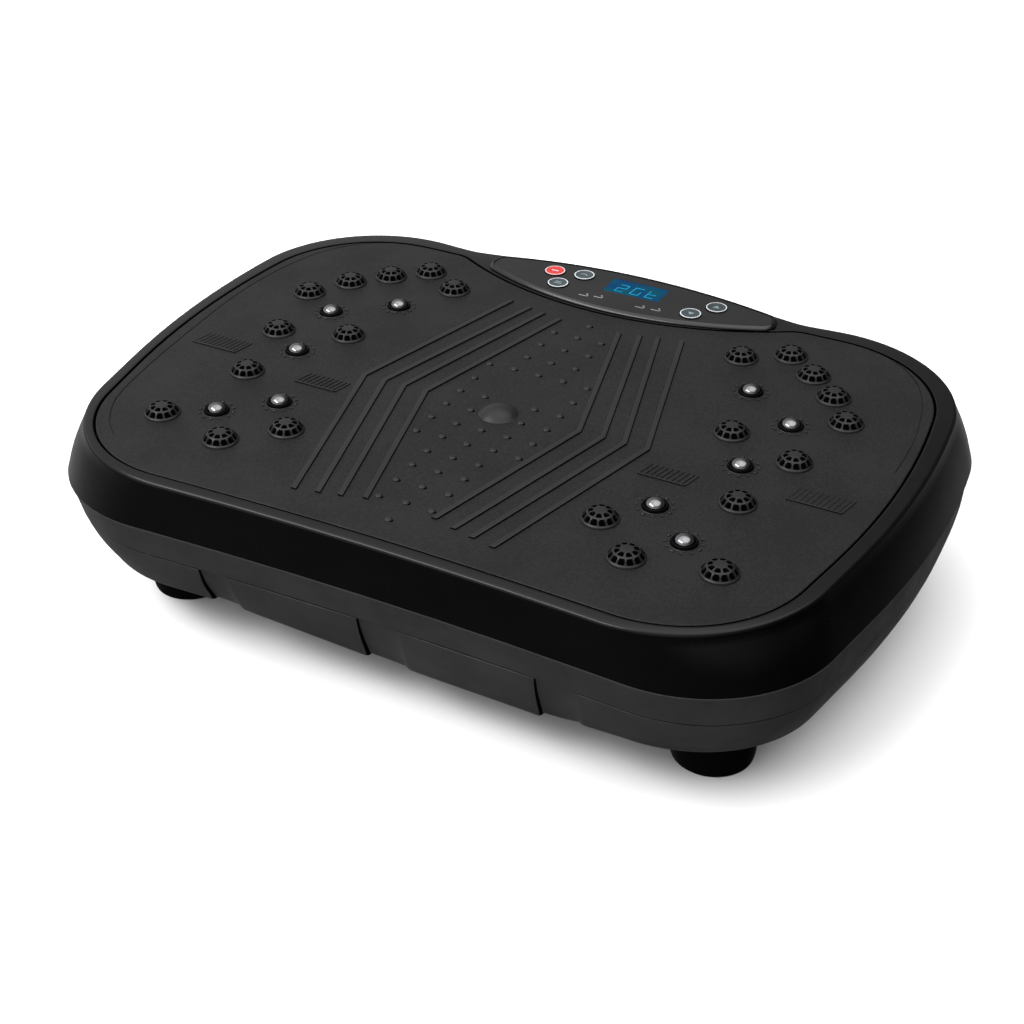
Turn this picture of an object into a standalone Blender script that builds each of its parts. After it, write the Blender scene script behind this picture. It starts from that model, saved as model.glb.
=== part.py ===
"""Rocking vibration plate for standing on: a plastic housing with a studded tread mat that
rocks from side to side about a front-to-back pivot, driven by a motor, a belt and two eccentrics.

Frame: X runs along the plate's long side, Y from front to rear (the control panel is at the
rear), Z up. The origin is on the floor, below the middle of the plate. Dimensions are in
millimetres and are turned into metres when a mesh is made.
"""
import math

import bmesh
import bpy
from mathutils import Matrix, Vector

MM = 0.001
GAP = 0.3                     # clearance between pieces that touch

# ---- driving dimensions: heights above the floor ---------------------------------------------
FLOOR_PAN_Z = 40.0            # underside of the lower cover
SEAM_Z = 72.0                 # parting line between the two covers
BELT_Z = 94.0                 # widest level of the housing
RIM_Z = 125.6                 # foot of the rounded outer top edge
MAT_TOP_Z = 129.0             # tread surface
MAT_BOTTOM_Z = 122.6
WALL = 3.0                    # thickness of the plastic covers

# ---- driving dimensions: outlines -------------------------------------------------------------
# Corners of half an outline as (x, y, radius), from the front middle round to the rear middle.
RIM_CORNERS = [(0.0, -181.0, 2640.0), (221.0, -191.7, 96.0), (254.5, 2.6, 573.0),
               (238.6, 177.1, 92.0), (121.6, 167.4, 61.0), (0.0, 188.4, 340.0)]
MAT_CORNERS = [(0.0, -173.4, 2500.0), (210.9, -181.4, 78.0), (244.6, -0.4, 530.0),
               (224.4, 155.2, 80.0), (123.9, 154.6, 21.0), (0.0, 83.4, 230.0)]
PANEL_CORNERS = [(0.0, 102.4, 245.0), (107.0, 149.2, 7.0), (104.0, 161.9, 5.0),
                 (0.0, 188.7, 400.0)]
PANEL_LEFT_SHARE = 0.93       # the panel's left half is shorter than its right half
FRONT_CORNER_RADIUS = 82.0    # front corners below the rim, which are fuller than the rim's
OUTLINE_STEPS = [3, 8, 4, 8, 4, 6]        # segments of each corner's arc
PANEL_STEPS = [10, 4, 3, 6]

# Half length, front edge and rear edge of the housing at its lower levels.
BELT_SIZE = (262.5, -189.0, 189.0)
SEAM_SIZE = (260.5, -182.5, 183.0)
PAN_SIZE = (251.5, -171.3, 174.8)

# ---- driving dimensions: tread features --------------------------------------------------------
CENTRE_Y = -28.4              # the tread pattern's centre
DOME_RADIUS = 11.0
DOME_HEIGHT = 6.0
DOME_PLACES = [(189.2, 84.2), (172.7, 110.2), (152.7, 130.5), (131.4, 148.7), (104.1, 132.6),
               (132.7, 43.1), (176.9, 28.3), (163.8, -26.4), (179.5, -92.8), (130.4, -102.3),
               (102.4, -75.1)]
MAGNET_PLACES = [(161.0, 66.6), (125.2, 94.5), (151.0, 10.6), (152.2, -75.3), (124.1, -49.8)]
MAGNET_RADIUS = 5.8
MAGNET_HEIGHT = 4.4
RIB_WIDTH = 3.4
RIB_HEIGHT = 1.0
# Front end, bend and rear end of each chevron rib.
RIB_ROUTES = [((22.0, -117.0), (52.0, 3.0), (21.5, 127.0)),
              ((36.0, -121.0), (67.5, 3.0), (35.0, 130.0)),
              ((49.0, -124.0), (81.5, 3.0), (46.5, 133.0)),
              ((63.0, -127.0), (96.0, 3.0), (62.0, 136.0))]

# ---- driving dimensions: control panel ---------------------------------------------------------
PANEL_Z = (129.2, 131.4)      # film panel in the raised island of the upper cover
PANEL_LEDGE = 2.3
# The island's outline, as a distance outside the panel's, and height, from bottom to top.
ISLAND_PROFILE = [(3.2, 126.0), (3.2, 129.4), (2.6, 130.7), (1.5, 131.5), (0.0, 131.8)]
DISPLAY_CENTRE = (7.3, 157.1)
DISPLAY_SIZE = (41.0, 20.0)
BUTTON_RADIUS = 7.2
BUTTON_PLACES = {"power_button": (-54.2, 158.1), "mode_button": (-33.2, 161.1),
                 "time_button": (-44.2, 142.1), "speed_down_button": (53.8, 141.1),
                 "speed_up_button": (65.8, 157.1)}
BOARD_Z = (120.0, 121.6)

# ---- driving dimensions: frame, feet and drive -------------------------------------------------
FOOT_X = 180.0
FOOT_Y = 111.0
CUP_HEIGHT = 30.0
PLATE_Z = (50.0, 53.0)        # steel base plate
DECK_Z = (115.0, 119.0)       # steel deck plate under the upper cover
PIVOT_Z = 82.0                # rocking axis, along Y at x = 0
PIVOT_Y = 105.0               # middle of each pivot bracket
CRANK_X = 80.0                # crankshaft axis, along Y at PIVOT_Z
THROW = 1.5                   # eccentricity of the crank discs
ECCENTRIC_RADIUS = 8.5
ROD_Y = 56.0                  # middle of each eccentric disc and connecting rod
ROD_LENGTH = 18.0
ROD_PIN_RADIUS = 3.0
ROD_PIN_CLEARANCE = 3.4       # the open pivot of the linkage
MOTOR_X = -90.0
MOTOR_RADIUS = 25.0
MOTOR_PULLEY_RADIUS = 12.0
CRANK_PULLEY_RADIUS = 24.0
BELT_WIDTH = 9.0
BELT_THICKNESS = 2.5
SHAFT_RADIUS = 6.0
BUFFER_PLACES = [(-150.0, -70.0), (150.0, -70.0), (-150.0, 70.0), (150.0, 70.0)]

# ---- driving dimensions: stepped front wall of the lower cover ---------------------------------
# Each panel of the wall starts set back at a sharp step and comes forward again after a while.
STEP_STARTS = [(-117.0, -118.5), (-11.0, -13.0), (101.0, 99.0)]    # x at the seam and at the pan
STEP_RUN = (17.0, 24.0, 23.0)
STEP_DEPTH = (1.4, 3.4)       # at the seam and at the pan
# The wall's bottom edge hangs lower as a skirt between two ramps along x.
SKIRT_LEFT = (-104.0, -72.0)
SKIRT_RIGHT = (98.0, 142.0)
SKIRT_DROP = 6.2


# ---- materials ---------------------------------------------------------------------------------
def material(name, colour, roughness, metallic=0.0):
    mat = bpy.data.materials.new(name)
    mat.use_nodes = True
    shader = mat.node_tree.nodes["Principled BSDF"]
    shader.inputs["Base Color"].default_value = (*colour, 1.0)
    shader.inputs["Roughness"].default_value = roughness
    shader.inputs["Metallic"].default_value = metallic
    return mat


# ---- outlines ----------------------------------------------------------------------------------
def mirrored(half):
    """The whole outline from its right half, whose first and last corners lie on x = 0."""
    left = [(-x, y, radius) for x, y, radius in reversed(half[1:-1])]
    return half + left


def rounded_outline(half, half_steps):
    """Points of the closed outline, with every corner turned by an arc."""
    corners = mirrored(half)
    steps = half_steps + list(reversed(half_steps[1:-1]))
    points = []
    for index, (x, y, radius) in enumerate(corners):
        corner = Vector((x, y))
        to_last = (Vector(corners[index - 1][:2]) - corner).normalized()
        to_next = (Vector(corners[(index + 1) % len(corners)][:2]) - corner).normalized()
        half_angle = to_last.angle(to_next) / 2
        centre = corner + (to_last + to_next).normalized() * radius / math.sin(half_angle)
        reach = radius / math.tan(half_angle)
        start = corner + to_last * reach - centre
        end = corner + to_next * reach - centre
        first = math.atan2(start.y, start.x)
        turn = math.atan2(end.y, end.x) - first
        turn = (turn + math.pi) % (2 * math.pi) - math.pi
        for step in range(steps[index] + 1):
            angle = first + turn * step / steps[index]
            points.append((centre.x + radius * math.cos(angle), centre.y + radius * math.sin(angle)))
    return points


def grown(points, distance):
    """The outline moved outwards by a distance, or inwards if it is negative."""
    result = []
    for index, point in enumerate(points):
        before = Vector(points[index - 1])
        after = Vector(points[(index + 1) % len(points)])
        along = (after - before).normalized()
        result.append((point[0] + along.y * distance, point[1] - along.x * distance))
    return result


def fuller_front(corners):
    """The corners with the front corner's radius as it is below the rim."""
    x, y, _ = corners[1]
    return [corners[0], (x, y, FRONT_CORNER_RADIUS)] + corners[2:]


def stretched(points, size):
    """The outline scaled to a half length, a front edge and a rear edge."""
    half_length, front, rear = size
    reach = max(x for x, _ in points)
    low = min(y for _, y in points)
    high = max(y for _, y in points)
    return [(x * half_length / reach, front + (y - low) * (rear - front) / (high - low))
            for x, y in points]


def circle(centre, radius, count, phase=0.0):
    return [(centre[0] + radius * math.cos(2 * math.pi * (step + phase) / count),
             centre[1] + radius * math.sin(2 * math.pi * (step + phase) / count))
            for step in range(count)]


def rectangle(low, high):
    return [(low[0], low[1]), (high[0], low[1]), (high[0], high[1]), (low[0], high[1])]


RIM = rounded_outline(RIM_CORNERS, OUTLINE_STEPS)
MAT = rounded_outline(MAT_CORNERS, OUTLINE_STEPS)
PANEL = [(x * PANEL_LEFT_SHARE if x < 0.0 else x, y)
         for x, y in rounded_outline(PANEL_CORNERS, PANEL_STEPS)]
BODY_RIM = rounded_outline(fuller_front(RIM_CORNERS), OUTLINE_STEPS)


# ---- solids ------------------------------------------------------------------------------------
def finish(name, bm, mat=None, origin=(0.0, 0.0, 0.0), smooth=True):
    """Turn a bmesh in millimetres into an object in metres, with its origin where asked."""
    bmesh.ops.recalc_face_normals(bm, faces=bm.faces)
    bmesh.ops.transform(bm, matrix=Matrix.Scale(MM, 4) @ Matrix.Translation(-Vector(origin)),
                        verts=bm.verts)
    mesh = bpy.data.meshes.new(name)
    bm.to_mesh(mesh)
    bm.free()
    piece = bpy.data.objects.new(name, mesh)
    piece.location = Vector(origin) * MM
    bpy.context.scene.collection.objects.link(piece)
    if mat:
        mesh.materials.append(mat)
    if smooth:
        mesh.shade_smooth()
        mesh.set_sharp_from_angle(angle=math.radians(35))
    return piece


def loft(bm, rings):
    """A closed body through rings of equal length, with its two ends capped."""
    loops = [[bm.verts.new(point) for point in ring] for ring in rings]
    for low, high in zip(loops, loops[1:]):
        for index in range(len(low)):
            after = (index + 1) % len(low)
            bm.faces.new((low[index], low[after], high[after], high[index]))
    bm.faces.new(list(reversed(loops[0])))
    bm.faces.new(loops[-1])


def level(points, z):
    return [(x, y, z) for x, y in points]


def prism(bm, points, low, high):
    loft(bm, [level(points, low), level(points, high)])


def turned(bm, centre, profile, count, axis="Z"):
    """A round body from (radius, height) pairs along an axis through the centre."""
    rings = []
    for radius, height in profile:
        ring = []
        for across, up in circle((0.0, 0.0), radius, count, 0.5):
            offset = {"Z": (across, up, height), "Y": (up, height, across)}[axis]
            ring.append(tuple(a + b for a, b in zip(centre, offset)))
        rings.append(ring)
    loft(bm, rings)


def rod(bm, centre, radius, low, high, count=24, axis="Y"):
    turned(bm, centre, [(radius, low), (radius, high)], count, axis)


def upright(bm, points, low, high):
    """A prism whose outline is given in X and Z, and which runs along Y."""
    loft(bm, [[(x, low, z) for x, z in points], [(x, high, z) for x, z in points]])


def cut(piece, bm, operation="DIFFERENCE"):
    """Apply a Boolean with a body that is only used for this."""
    tool = finish(piece.name + "_tool", bm, smooth=False)
    tool.hide_render = True
    tool.display_type = "WIRE"
    bpy.context.view_layer.update()
    boolean = piece.modifiers.new(operation.lower(), "BOOLEAN")
    boolean.operation = operation
    boolean.solver = "EXACT"
    boolean.object = tool
    graph = bpy.context.evaluated_depsgraph_get()
    mesh = bpy.data.meshes.new_from_object(piece.evaluated_get(graph))
    piece.modifiers.clear()
    piece.data = mesh
    bpy.data.objects.remove(tool)


def hinge_origin(piece, point):
    """Move an object's origin to a point on its axis without moving its shape."""
    target = Vector(point) * MM
    piece.data.transform(Matrix.Translation(piece.location - target))
    piece.location = target


# ---- housing -----------------------------------------------------------------------------------
def make_upper_cover(mat):
    recess = grown(MAT, 0.8)
    belt = stretched(BODY_RIM, BELT_SIZE)
    seam = stretched(BODY_RIM, SEAM_SIZE)
    middle = stretched(BODY_RIM, (BELT_SIZE[0] - 4.0, BELT_SIZE[1] + 1.2, BELT_SIZE[2] - 2.0))
    rings = [level(recess, MAT_BOTTOM_Z - GAP),
             level(recess, MAT_TOP_Z - 0.6),
             level(grown(MAT, 2.0), MAT_TOP_Z + 0.2),
             level(grown(RIM, -2.6), RIM_Z + 3.0),
             level(grown(RIM, -0.8), RIM_Z + 2.2),
             level(RIM, RIM_Z),
             level(middle, 0.5 * (RIM_Z + BELT_Z) + 1.0),
             level(belt, BELT_Z + 0.8),
             level(grown(belt, -0.9), BELT_Z - 0.6),
             level(seam, SEAM_Z + 0.2),
             level(grown(seam, -WALL), SEAM_Z + 0.2),
             level(grown(belt, -WALL - 0.5), BELT_Z),
             level(grown(RIM, -WALL - 0.4), RIM_Z - 1.9),
             level(grown(MAT, WALL + 0.2), MAT_TOP_Z - 5.2),
             level(grown(MAT, WALL + 0.2), DECK_Z[1] + GAP)]
    bm = bmesh.new()
    loft(bm, rings)
    cover = finish("upper_cover", bm, mat)
    island = bmesh.new()
    loft(island, [level(grown(PANEL, outside), z) for outside, z in ISLAND_PROFILE])
    cut(cover, island, "UNION")
    pocket = bmesh.new()
    prism(pocket, grown(PANEL, GAP), PANEL_Z[0] - GAP, MAT_TOP_Z + 10.0)
    cut(cover, pocket)
    opening = bmesh.new()
    prism(opening, grown(PANEL, -PANEL_LEDGE), DECK_Z[0], MAT_TOP_Z + 10.0)
    cut(cover, opening)
    return cover


def stepped_front(points, drop):
    """The outline with its front run set back in steps; drop is 0 at the seam and 1 at the pan."""
    front = OUTLINE_STEPS[0] + 1
    run = [points[-1]] + points[:front + 1]
    depth = STEP_DEPTH[0] + (STEP_DEPTH[1] - STEP_DEPTH[0]) * drop
    stations = []
    for (at_seam, at_pan), length in zip(STEP_STARTS, STEP_RUN):
        start = at_seam + (at_pan - at_seam) * drop
        stations += [(start - 0.8, 0.0), (start + 0.8, depth),
                     (start + length, 0.7 * depth), (start + length + 5.0, 0.0)]
    result = []
    for x, inset in stations:
        for (x0, y0), (x1, y1) in zip(run, run[1:]):
            if x0 <= x <= x1:
                result.append((x, y0 + (y1 - y0) * (x - x0) / (x1 - x0) + inset))
                break
    return result + points[front:]


def hung(points, z, share):
    """The outline at a level, with its front middle hanging lower as a skirt."""
    result = []
    for x, y in points:
        rise = min(max((x - SKIRT_LEFT[0]) / (SKIRT_LEFT[1] - SKIRT_LEFT[0]), 0.0), 1.0)
        fall = min(max((SKIRT_RIGHT[1] - x) / (SKIRT_RIGHT[1] - SKIRT_RIGHT[0]), 0.0), 1.0)
        reach = rise * rise * (3.0 - 2.0 * rise) * fall * fall * (3.0 - 2.0 * fall)
        result.append((x, y, z - SKIRT_DROP * share * reach * (y < 0.0)))
    return result


def make_lower_cover(mat):
    seam = stretched(BODY_RIM, SEAM_SIZE)
    pan = stretched(BODY_RIM, PAN_SIZE)
    rings = [level(stepped_front(grown(pan, -10.0), 1.0), FLOOR_PAN_Z),
             hung(stepped_front(grown(pan, -5.0), 1.0), FLOOR_PAN_Z, 1.0),
             hung(stepped_front(grown(pan, -1.5), 1.0), FLOOR_PAN_Z + 1.2, 1.0),
             hung(stepped_front(pan, 0.9), FLOOR_PAN_Z + 4.5, 0.8),
             level(stepped_front(seam, 0.0), SEAM_Z - 0.2),
             level(stepped_front(grown(seam, -WALL), 0.0), SEAM_Z - 0.2),
             level(stepped_front(grown(pan, -WALL), 0.9), FLOOR_PAN_Z + 6.0),
             level(stepped_front(grown(pan, -WALL - 4.0), 1.0), FLOOR_PAN_Z + WALL)]
    bm = bmesh.new()
    loft(bm, rings)
    cover = finish("lower_cover", bm, mat)
    holes = bmesh.new()
    for x in (-FOOT_X, FOOT_X):
        for y in (-FOOT_Y, FOOT_Y):
            prism(holes, circle((x, y), 20.0, 28), FLOOR_PAN_Z - 5.0, FLOOR_PAN_Z + 8.0)
    prism(holes, rectangle((-52.0, 150.0), (52.0, 200.0)), INLET_Z[0] - GAP, INLET_Z[1] + GAP)
    cut(cover, holes)
    return cover


def make_mat(mat):
    bm = bmesh.new()
    loft(bm, [level(MAT, MAT_BOTTOM_Z), level(MAT, MAT_TOP_Z - 0.8),
              level(grown(MAT, -0.8), MAT_TOP_Z)])
    tread = finish("tread_mat", bm, mat)
    raised = bmesh.new()
    for side in (-1, 1):
        for x, y in DOME_PLACES:
            centre = (side * x, y + CENTRE_Y, MAT_TOP_Z)
            turned(raised, centre, [(DOME_RADIUS, -1.0), (DOME_RADIUS, 0.8),
                                    (DOME_RADIUS - 2.6, 4.2), (3.5, DOME_HEIGHT)], 10)
        for route in RIB_ROUTES:
            (x0, y0), (x1, y1), (x2, y2) = route
            half = RIB_WIDTH / 2
            points = [(x0 - half, y0), (x0 + half, y0), (x1 + half, y1), (x2 + half, y2),
                      (x2 - half, y2), (x1 - half, y1)]
            prism(raised, [(side * x, y + CENTRE_Y) for x, y in points],
                  MAT_TOP_Z - 1.0, MAT_TOP_Z + RIB_HEIGHT)
    turned(raised, (0.0, CENTRE_Y, MAT_TOP_Z), [(12.0, -1.0), (12.0, 0.3), (8.5, 3.2), (3.0, 4.6)], 20)
    cut(tread, raised, "UNION")
    pockets = bmesh.new()
    for side in (-1, 1):
        for x, y in MAGNET_PLACES:
            prism(pockets, circle((side * x, y + CENTRE_Y), MAGNET_RADIUS + 0.4, 12),
                  MAT_TOP_Z - 5.0, MAT_TOP_Z + 5.0)
    cut(tread, pockets)
    return tread


def make_magnets(mat):
    number = 0
    for side in (-1, 1):
        for x, y in MAGNET_PLACES:
            number += 1
            base = -5.0 + GAP
            profile = [(MAGNET_RADIUS, base), (MAGNET_RADIUS, 0.6)]
            for step in (1, 2):
                angle = math.radians(35.0 * step)
                profile.append((MAGNET_RADIUS * math.cos(angle),
                                0.6 + MAGNET_HEIGHT * math.sin(angle)))
            bm = bmesh.new()
            turned(bm, (side * x, y + CENTRE_Y, MAT_TOP_Z), profile, 12)
            finish(f"magnet_stud_{number:02d}", bm, mat)


def make_deck(mat):
    bm = bmesh.new()
    prism(bm, grown(MAT, -8.0), DECK_Z[0], DECK_Z[1])
    return finish("deck_plate", bm, mat, smooth=False)


# ---- control panel -----------------------------------------------------------------------------
def make_control_panel(mat, lens_mat, module_mat, board_mat, button_mats):
    bm = bmesh.new()
    prism(bm, PANEL, *PANEL_Z)
    panel = finish("control_panel", bm, mat, smooth=False)
    holes = bmesh.new()
    for place in BUTTON_PLACES.values():
        prism(holes, circle(place, BUTTON_RADIUS + 0.4, 18, 0.5), PANEL_Z[0] - 5.0, PANEL_Z[1] + 5.0)
    half = (DISPLAY_SIZE[0] / 2, DISPLAY_SIZE[1] / 2)
    prism(holes, centred(DISPLAY_CENTRE, half), PANEL_Z[0] - 5.0, PANEL_Z[1] + 5.0)
    cut(panel, holes)

    bm = bmesh.new()
    prism(bm, centred(DISPLAY_CENTRE, (half[0] - GAP, half[1] - GAP)), PANEL_Z[0], PANEL_Z[1])
    finish("display_lens", bm, lens_mat, smooth=False)
    bm = bmesh.new()
    prism(bm, centred(DISPLAY_CENTRE, (half[0] + 2.0, half[1] + 2.0)),
          BOARD_Z[1] + GAP, PANEL_Z[0] - GAP)
    finish("display_module", bm, module_mat, smooth=False)
    bm = bmesh.new()
    prism(bm, rectangle((-78.0, 138.2), (78.0, 171.2)), *BOARD_Z)
    finish("control_board", bm, board_mat, smooth=False)
    for name, (x, y) in BUTTON_PLACES.items():
        bm = bmesh.new()
        turned(bm, (x, y, 0.0), [(2.4, BOARD_Z[1] + 1.2), (2.4, PANEL_Z[0] - 1.5),
                                 (BUTTON_RADIUS, PANEL_Z[0] - 1.5),
                                 (BUTTON_RADIUS, PANEL_Z[1] + 0.3),
                                 (BUTTON_RADIUS - 0.7, PANEL_Z[1] + 0.8)], 18)
        finish(name, bm, button_mats.get(name, button_mats["plain"]),
               origin=(x, y, PANEL_Z[1]))


def centred(centre, half):
    return rectangle((centre[0] - half[0], centre[1] - half[1]),
                     (centre[0] + half[0], centre[1] + half[1]))


# ---- power inlet group in the rear wall --------------------------------------------------------
INLET_Z = (44.6, 69.4)
INLET_FACE_Y = 181.7
INLET_DEPTH = 15.0
SOCKET_X = -27.0
SOCKET_HALF = (12.0, 8.0)     # half width and half height of the plug's cavity
SOCKET_DEPTH = 15.0
SWITCH_X = 14.0
SWITCH_HALF = (10.0, 6.0)
FUSE_X = 38.0
SWITCH_TILT = 8.0             # degrees to either side


def make_inlet_group(panel_mat, socket_mat, switch_mat, cap_mat):
    middle_z = sum(INLET_Z) / 2
    front = INLET_FACE_Y
    socket_body = (SOCKET_HALF[0] + 1.8, SOCKET_HALF[1] + 1.8)
    bm = bmesh.new()
    prism(bm, rectangle((-51.7, front - INLET_DEPTH), (51.7, front)), *INLET_Z)
    panel = finish("inlet_panel", bm, panel_mat, smooth=False)
    holes = bmesh.new()
    prism(holes, rectangle((SOCKET_X - socket_body[0] - GAP, 150.0),
                           (SOCKET_X + socket_body[0] + GAP, 200.0)),
          middle_z - socket_body[1] - GAP, middle_z + socket_body[1] + GAP)
    prism(holes, rectangle((SWITCH_X - SWITCH_HALF[0] - 1.2, 150.0),
                           (SWITCH_X + SWITCH_HALF[0] + 1.2, 200.0)),
          middle_z - SWITCH_HALF[1] - 0.5, middle_z + SWITCH_HALF[1] + 0.5)
    rod(holes, (FUSE_X, 0.0, middle_z), 5.3, 150.0, 200.0)
    cut(panel, holes)

    bm = bmesh.new()
    prism(bm, rectangle((SOCKET_X - socket_body[0], front - 20.0),
                        (SOCKET_X + socket_body[0], front + 1.8)),
          middle_z - socket_body[1], middle_z + socket_body[1])
    socket = finish("power_inlet", bm, socket_mat, smooth=False)
    cavity = bmesh.new()
    prism(cavity, rectangle((SOCKET_X - SOCKET_HALF[0], front + 1.8 - SOCKET_DEPTH),
                            (SOCKET_X + SOCKET_HALF[0], 200.0)),
          middle_z - SOCKET_HALF[1], middle_z + SOCKET_HALF[1])
    cut(socket, cavity)

    pivot_y = front - 1.5
    outline = [(-10.0, 4.2), (-8.5, -4.0), (0.0, -7.5), (8.5, -4.0), (10.0, 4.2), (0.0, 2.4)]
    tilt = Matrix.Rotation(math.radians(-SWITCH_TILT), 2)
    turned_outline = [tilt @ Vector(point) for point in outline]
    bm = bmesh.new()
    prism(bm, [(SWITCH_X + point.x, pivot_y + point.y) for point in turned_outline],
          middle_z - SWITCH_HALF[1] + 0.1, middle_z + SWITCH_HALF[1] - 0.1)
    finish("power_switch", bm, switch_mat, origin=(SWITCH_X, pivot_y, middle_z), smooth=False)

    bm = bmesh.new()
    turned(bm, (FUSE_X, 0.0, middle_z), [(5.0, front - 22.0), (5.0, front + GAP),
                                         (6.6, front + GAP), (6.6, front + 2.6),
                                         (5.8, front + 3.2)], 20, "Y")
    finish("fuse_cap", bm, cap_mat)


# ---- base plate and feet -----------------------------------------------------------------------
def rounded_rectangle(half_x, half_y, radius, steps=5):
    points = []
    for quarter, (sign_x, sign_y) in enumerate([(1, 1), (-1, 1), (-1, -1), (1, -1)]):
        centre = (sign_x * (half_x - radius), sign_y * (half_y - radius))
        for step in range(steps + 1):
            angle = math.radians(90.0) * (quarter + step / steps)
            points.append((centre[0] + radius * math.cos(angle),
                           centre[1] + radius * math.sin(angle)))
    return points


def make_base(steel, post_mat, rubber):
    bm = bmesh.new()
    prism(bm, rounded_rectangle(202.0, 131.0, 30.0, 4), *PLATE_Z)
    finish("base_plate", bm, steel, smooth=False)
    cup = [(6.0, 7.0), (14.0, 5.0), (19.0, 0.0), (23.6, 0.0), (24.6, 2.5), (25.0, 12.0),
           (24.4, 23.0), (15.0, CUP_HEIGHT)]
    corners = {"front_left": (-1, -1), "front_right": (1, -1),
               "rear_left": (-1, 1), "rear_right": (1, 1)}
    for corner, (sign_x, sign_y) in corners.items():
        place = (sign_x * FOOT_X, sign_y * FOOT_Y, 0.0)
        bm = bmesh.new()
        turned(bm, place, [(13.0, CUP_HEIGHT + GAP), (13.0, PLATE_Z[0] - GAP)], 24)
        finish(f"foot_post_{corner}", bm, post_mat)
        bm = bmesh.new()
        turned(bm, place, cup, 20)
        finish(f"suction_cup_{corner}", bm, rubber)
    for (x, y), corner in zip(BUFFER_PLACES, corners):
        bm = bmesh.new()
        turned(bm, (x, y, 0.0), [(13.0, PLATE_Z[1] + GAP), (13.0, 60.0), (10.5, 82.0),
                                 (13.0, 104.0), (11.0, 110.0)], 12)
        finish(f"rubber_buffer_{corner}", bm, rubber)


# ---- rocking pivot -----------------------------------------------------------------------------
def make_pivots(steel, deck_steel):
    for name, side in (("front", -1), ("rear", 1)):
        middle = side * PIVOT_Y
        bm = bmesh.new()
        upright(bm, [(-24.0, PLATE_Z[1] + GAP), (24.0, PLATE_Z[1] + GAP), (9.0, PIVOT_Z + 9.0),
                     (-9.0, PIVOT_Z + 9.0)], middle - 3.0, middle + 3.0)
        bracket = finish(f"pivot_bracket_{name}", bm, steel)
        pin = bmesh.new()
        ends = sorted((middle - side * 2.0, middle - side * 18.0))
        rod(pin, (0.0, 0.0, PIVOT_Z), 5.0, *ends, 20)
        cut(bracket, pin, "UNION")

        hanger_y = middle - side * 10.0
        bm = bmesh.new()
        upright(bm, [(-9.0, PIVOT_Z - 9.0), (9.0, PIVOT_Z - 9.0), (16.0, DECK_Z[0] - GAP),
                     (-16.0, DECK_Z[0] - GAP)], hanger_y - 3.0, hanger_y + 3.0)
        hanger = finish(f"pivot_hanger_{name}", bm, deck_steel)
        hole = bmesh.new()
        rod(hole, (0.0, 0.0, PIVOT_Z), 5.0 + GAP, hanger_y - 5.0, hanger_y + 5.0, 20)
        cut(hanger, hole)


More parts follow.
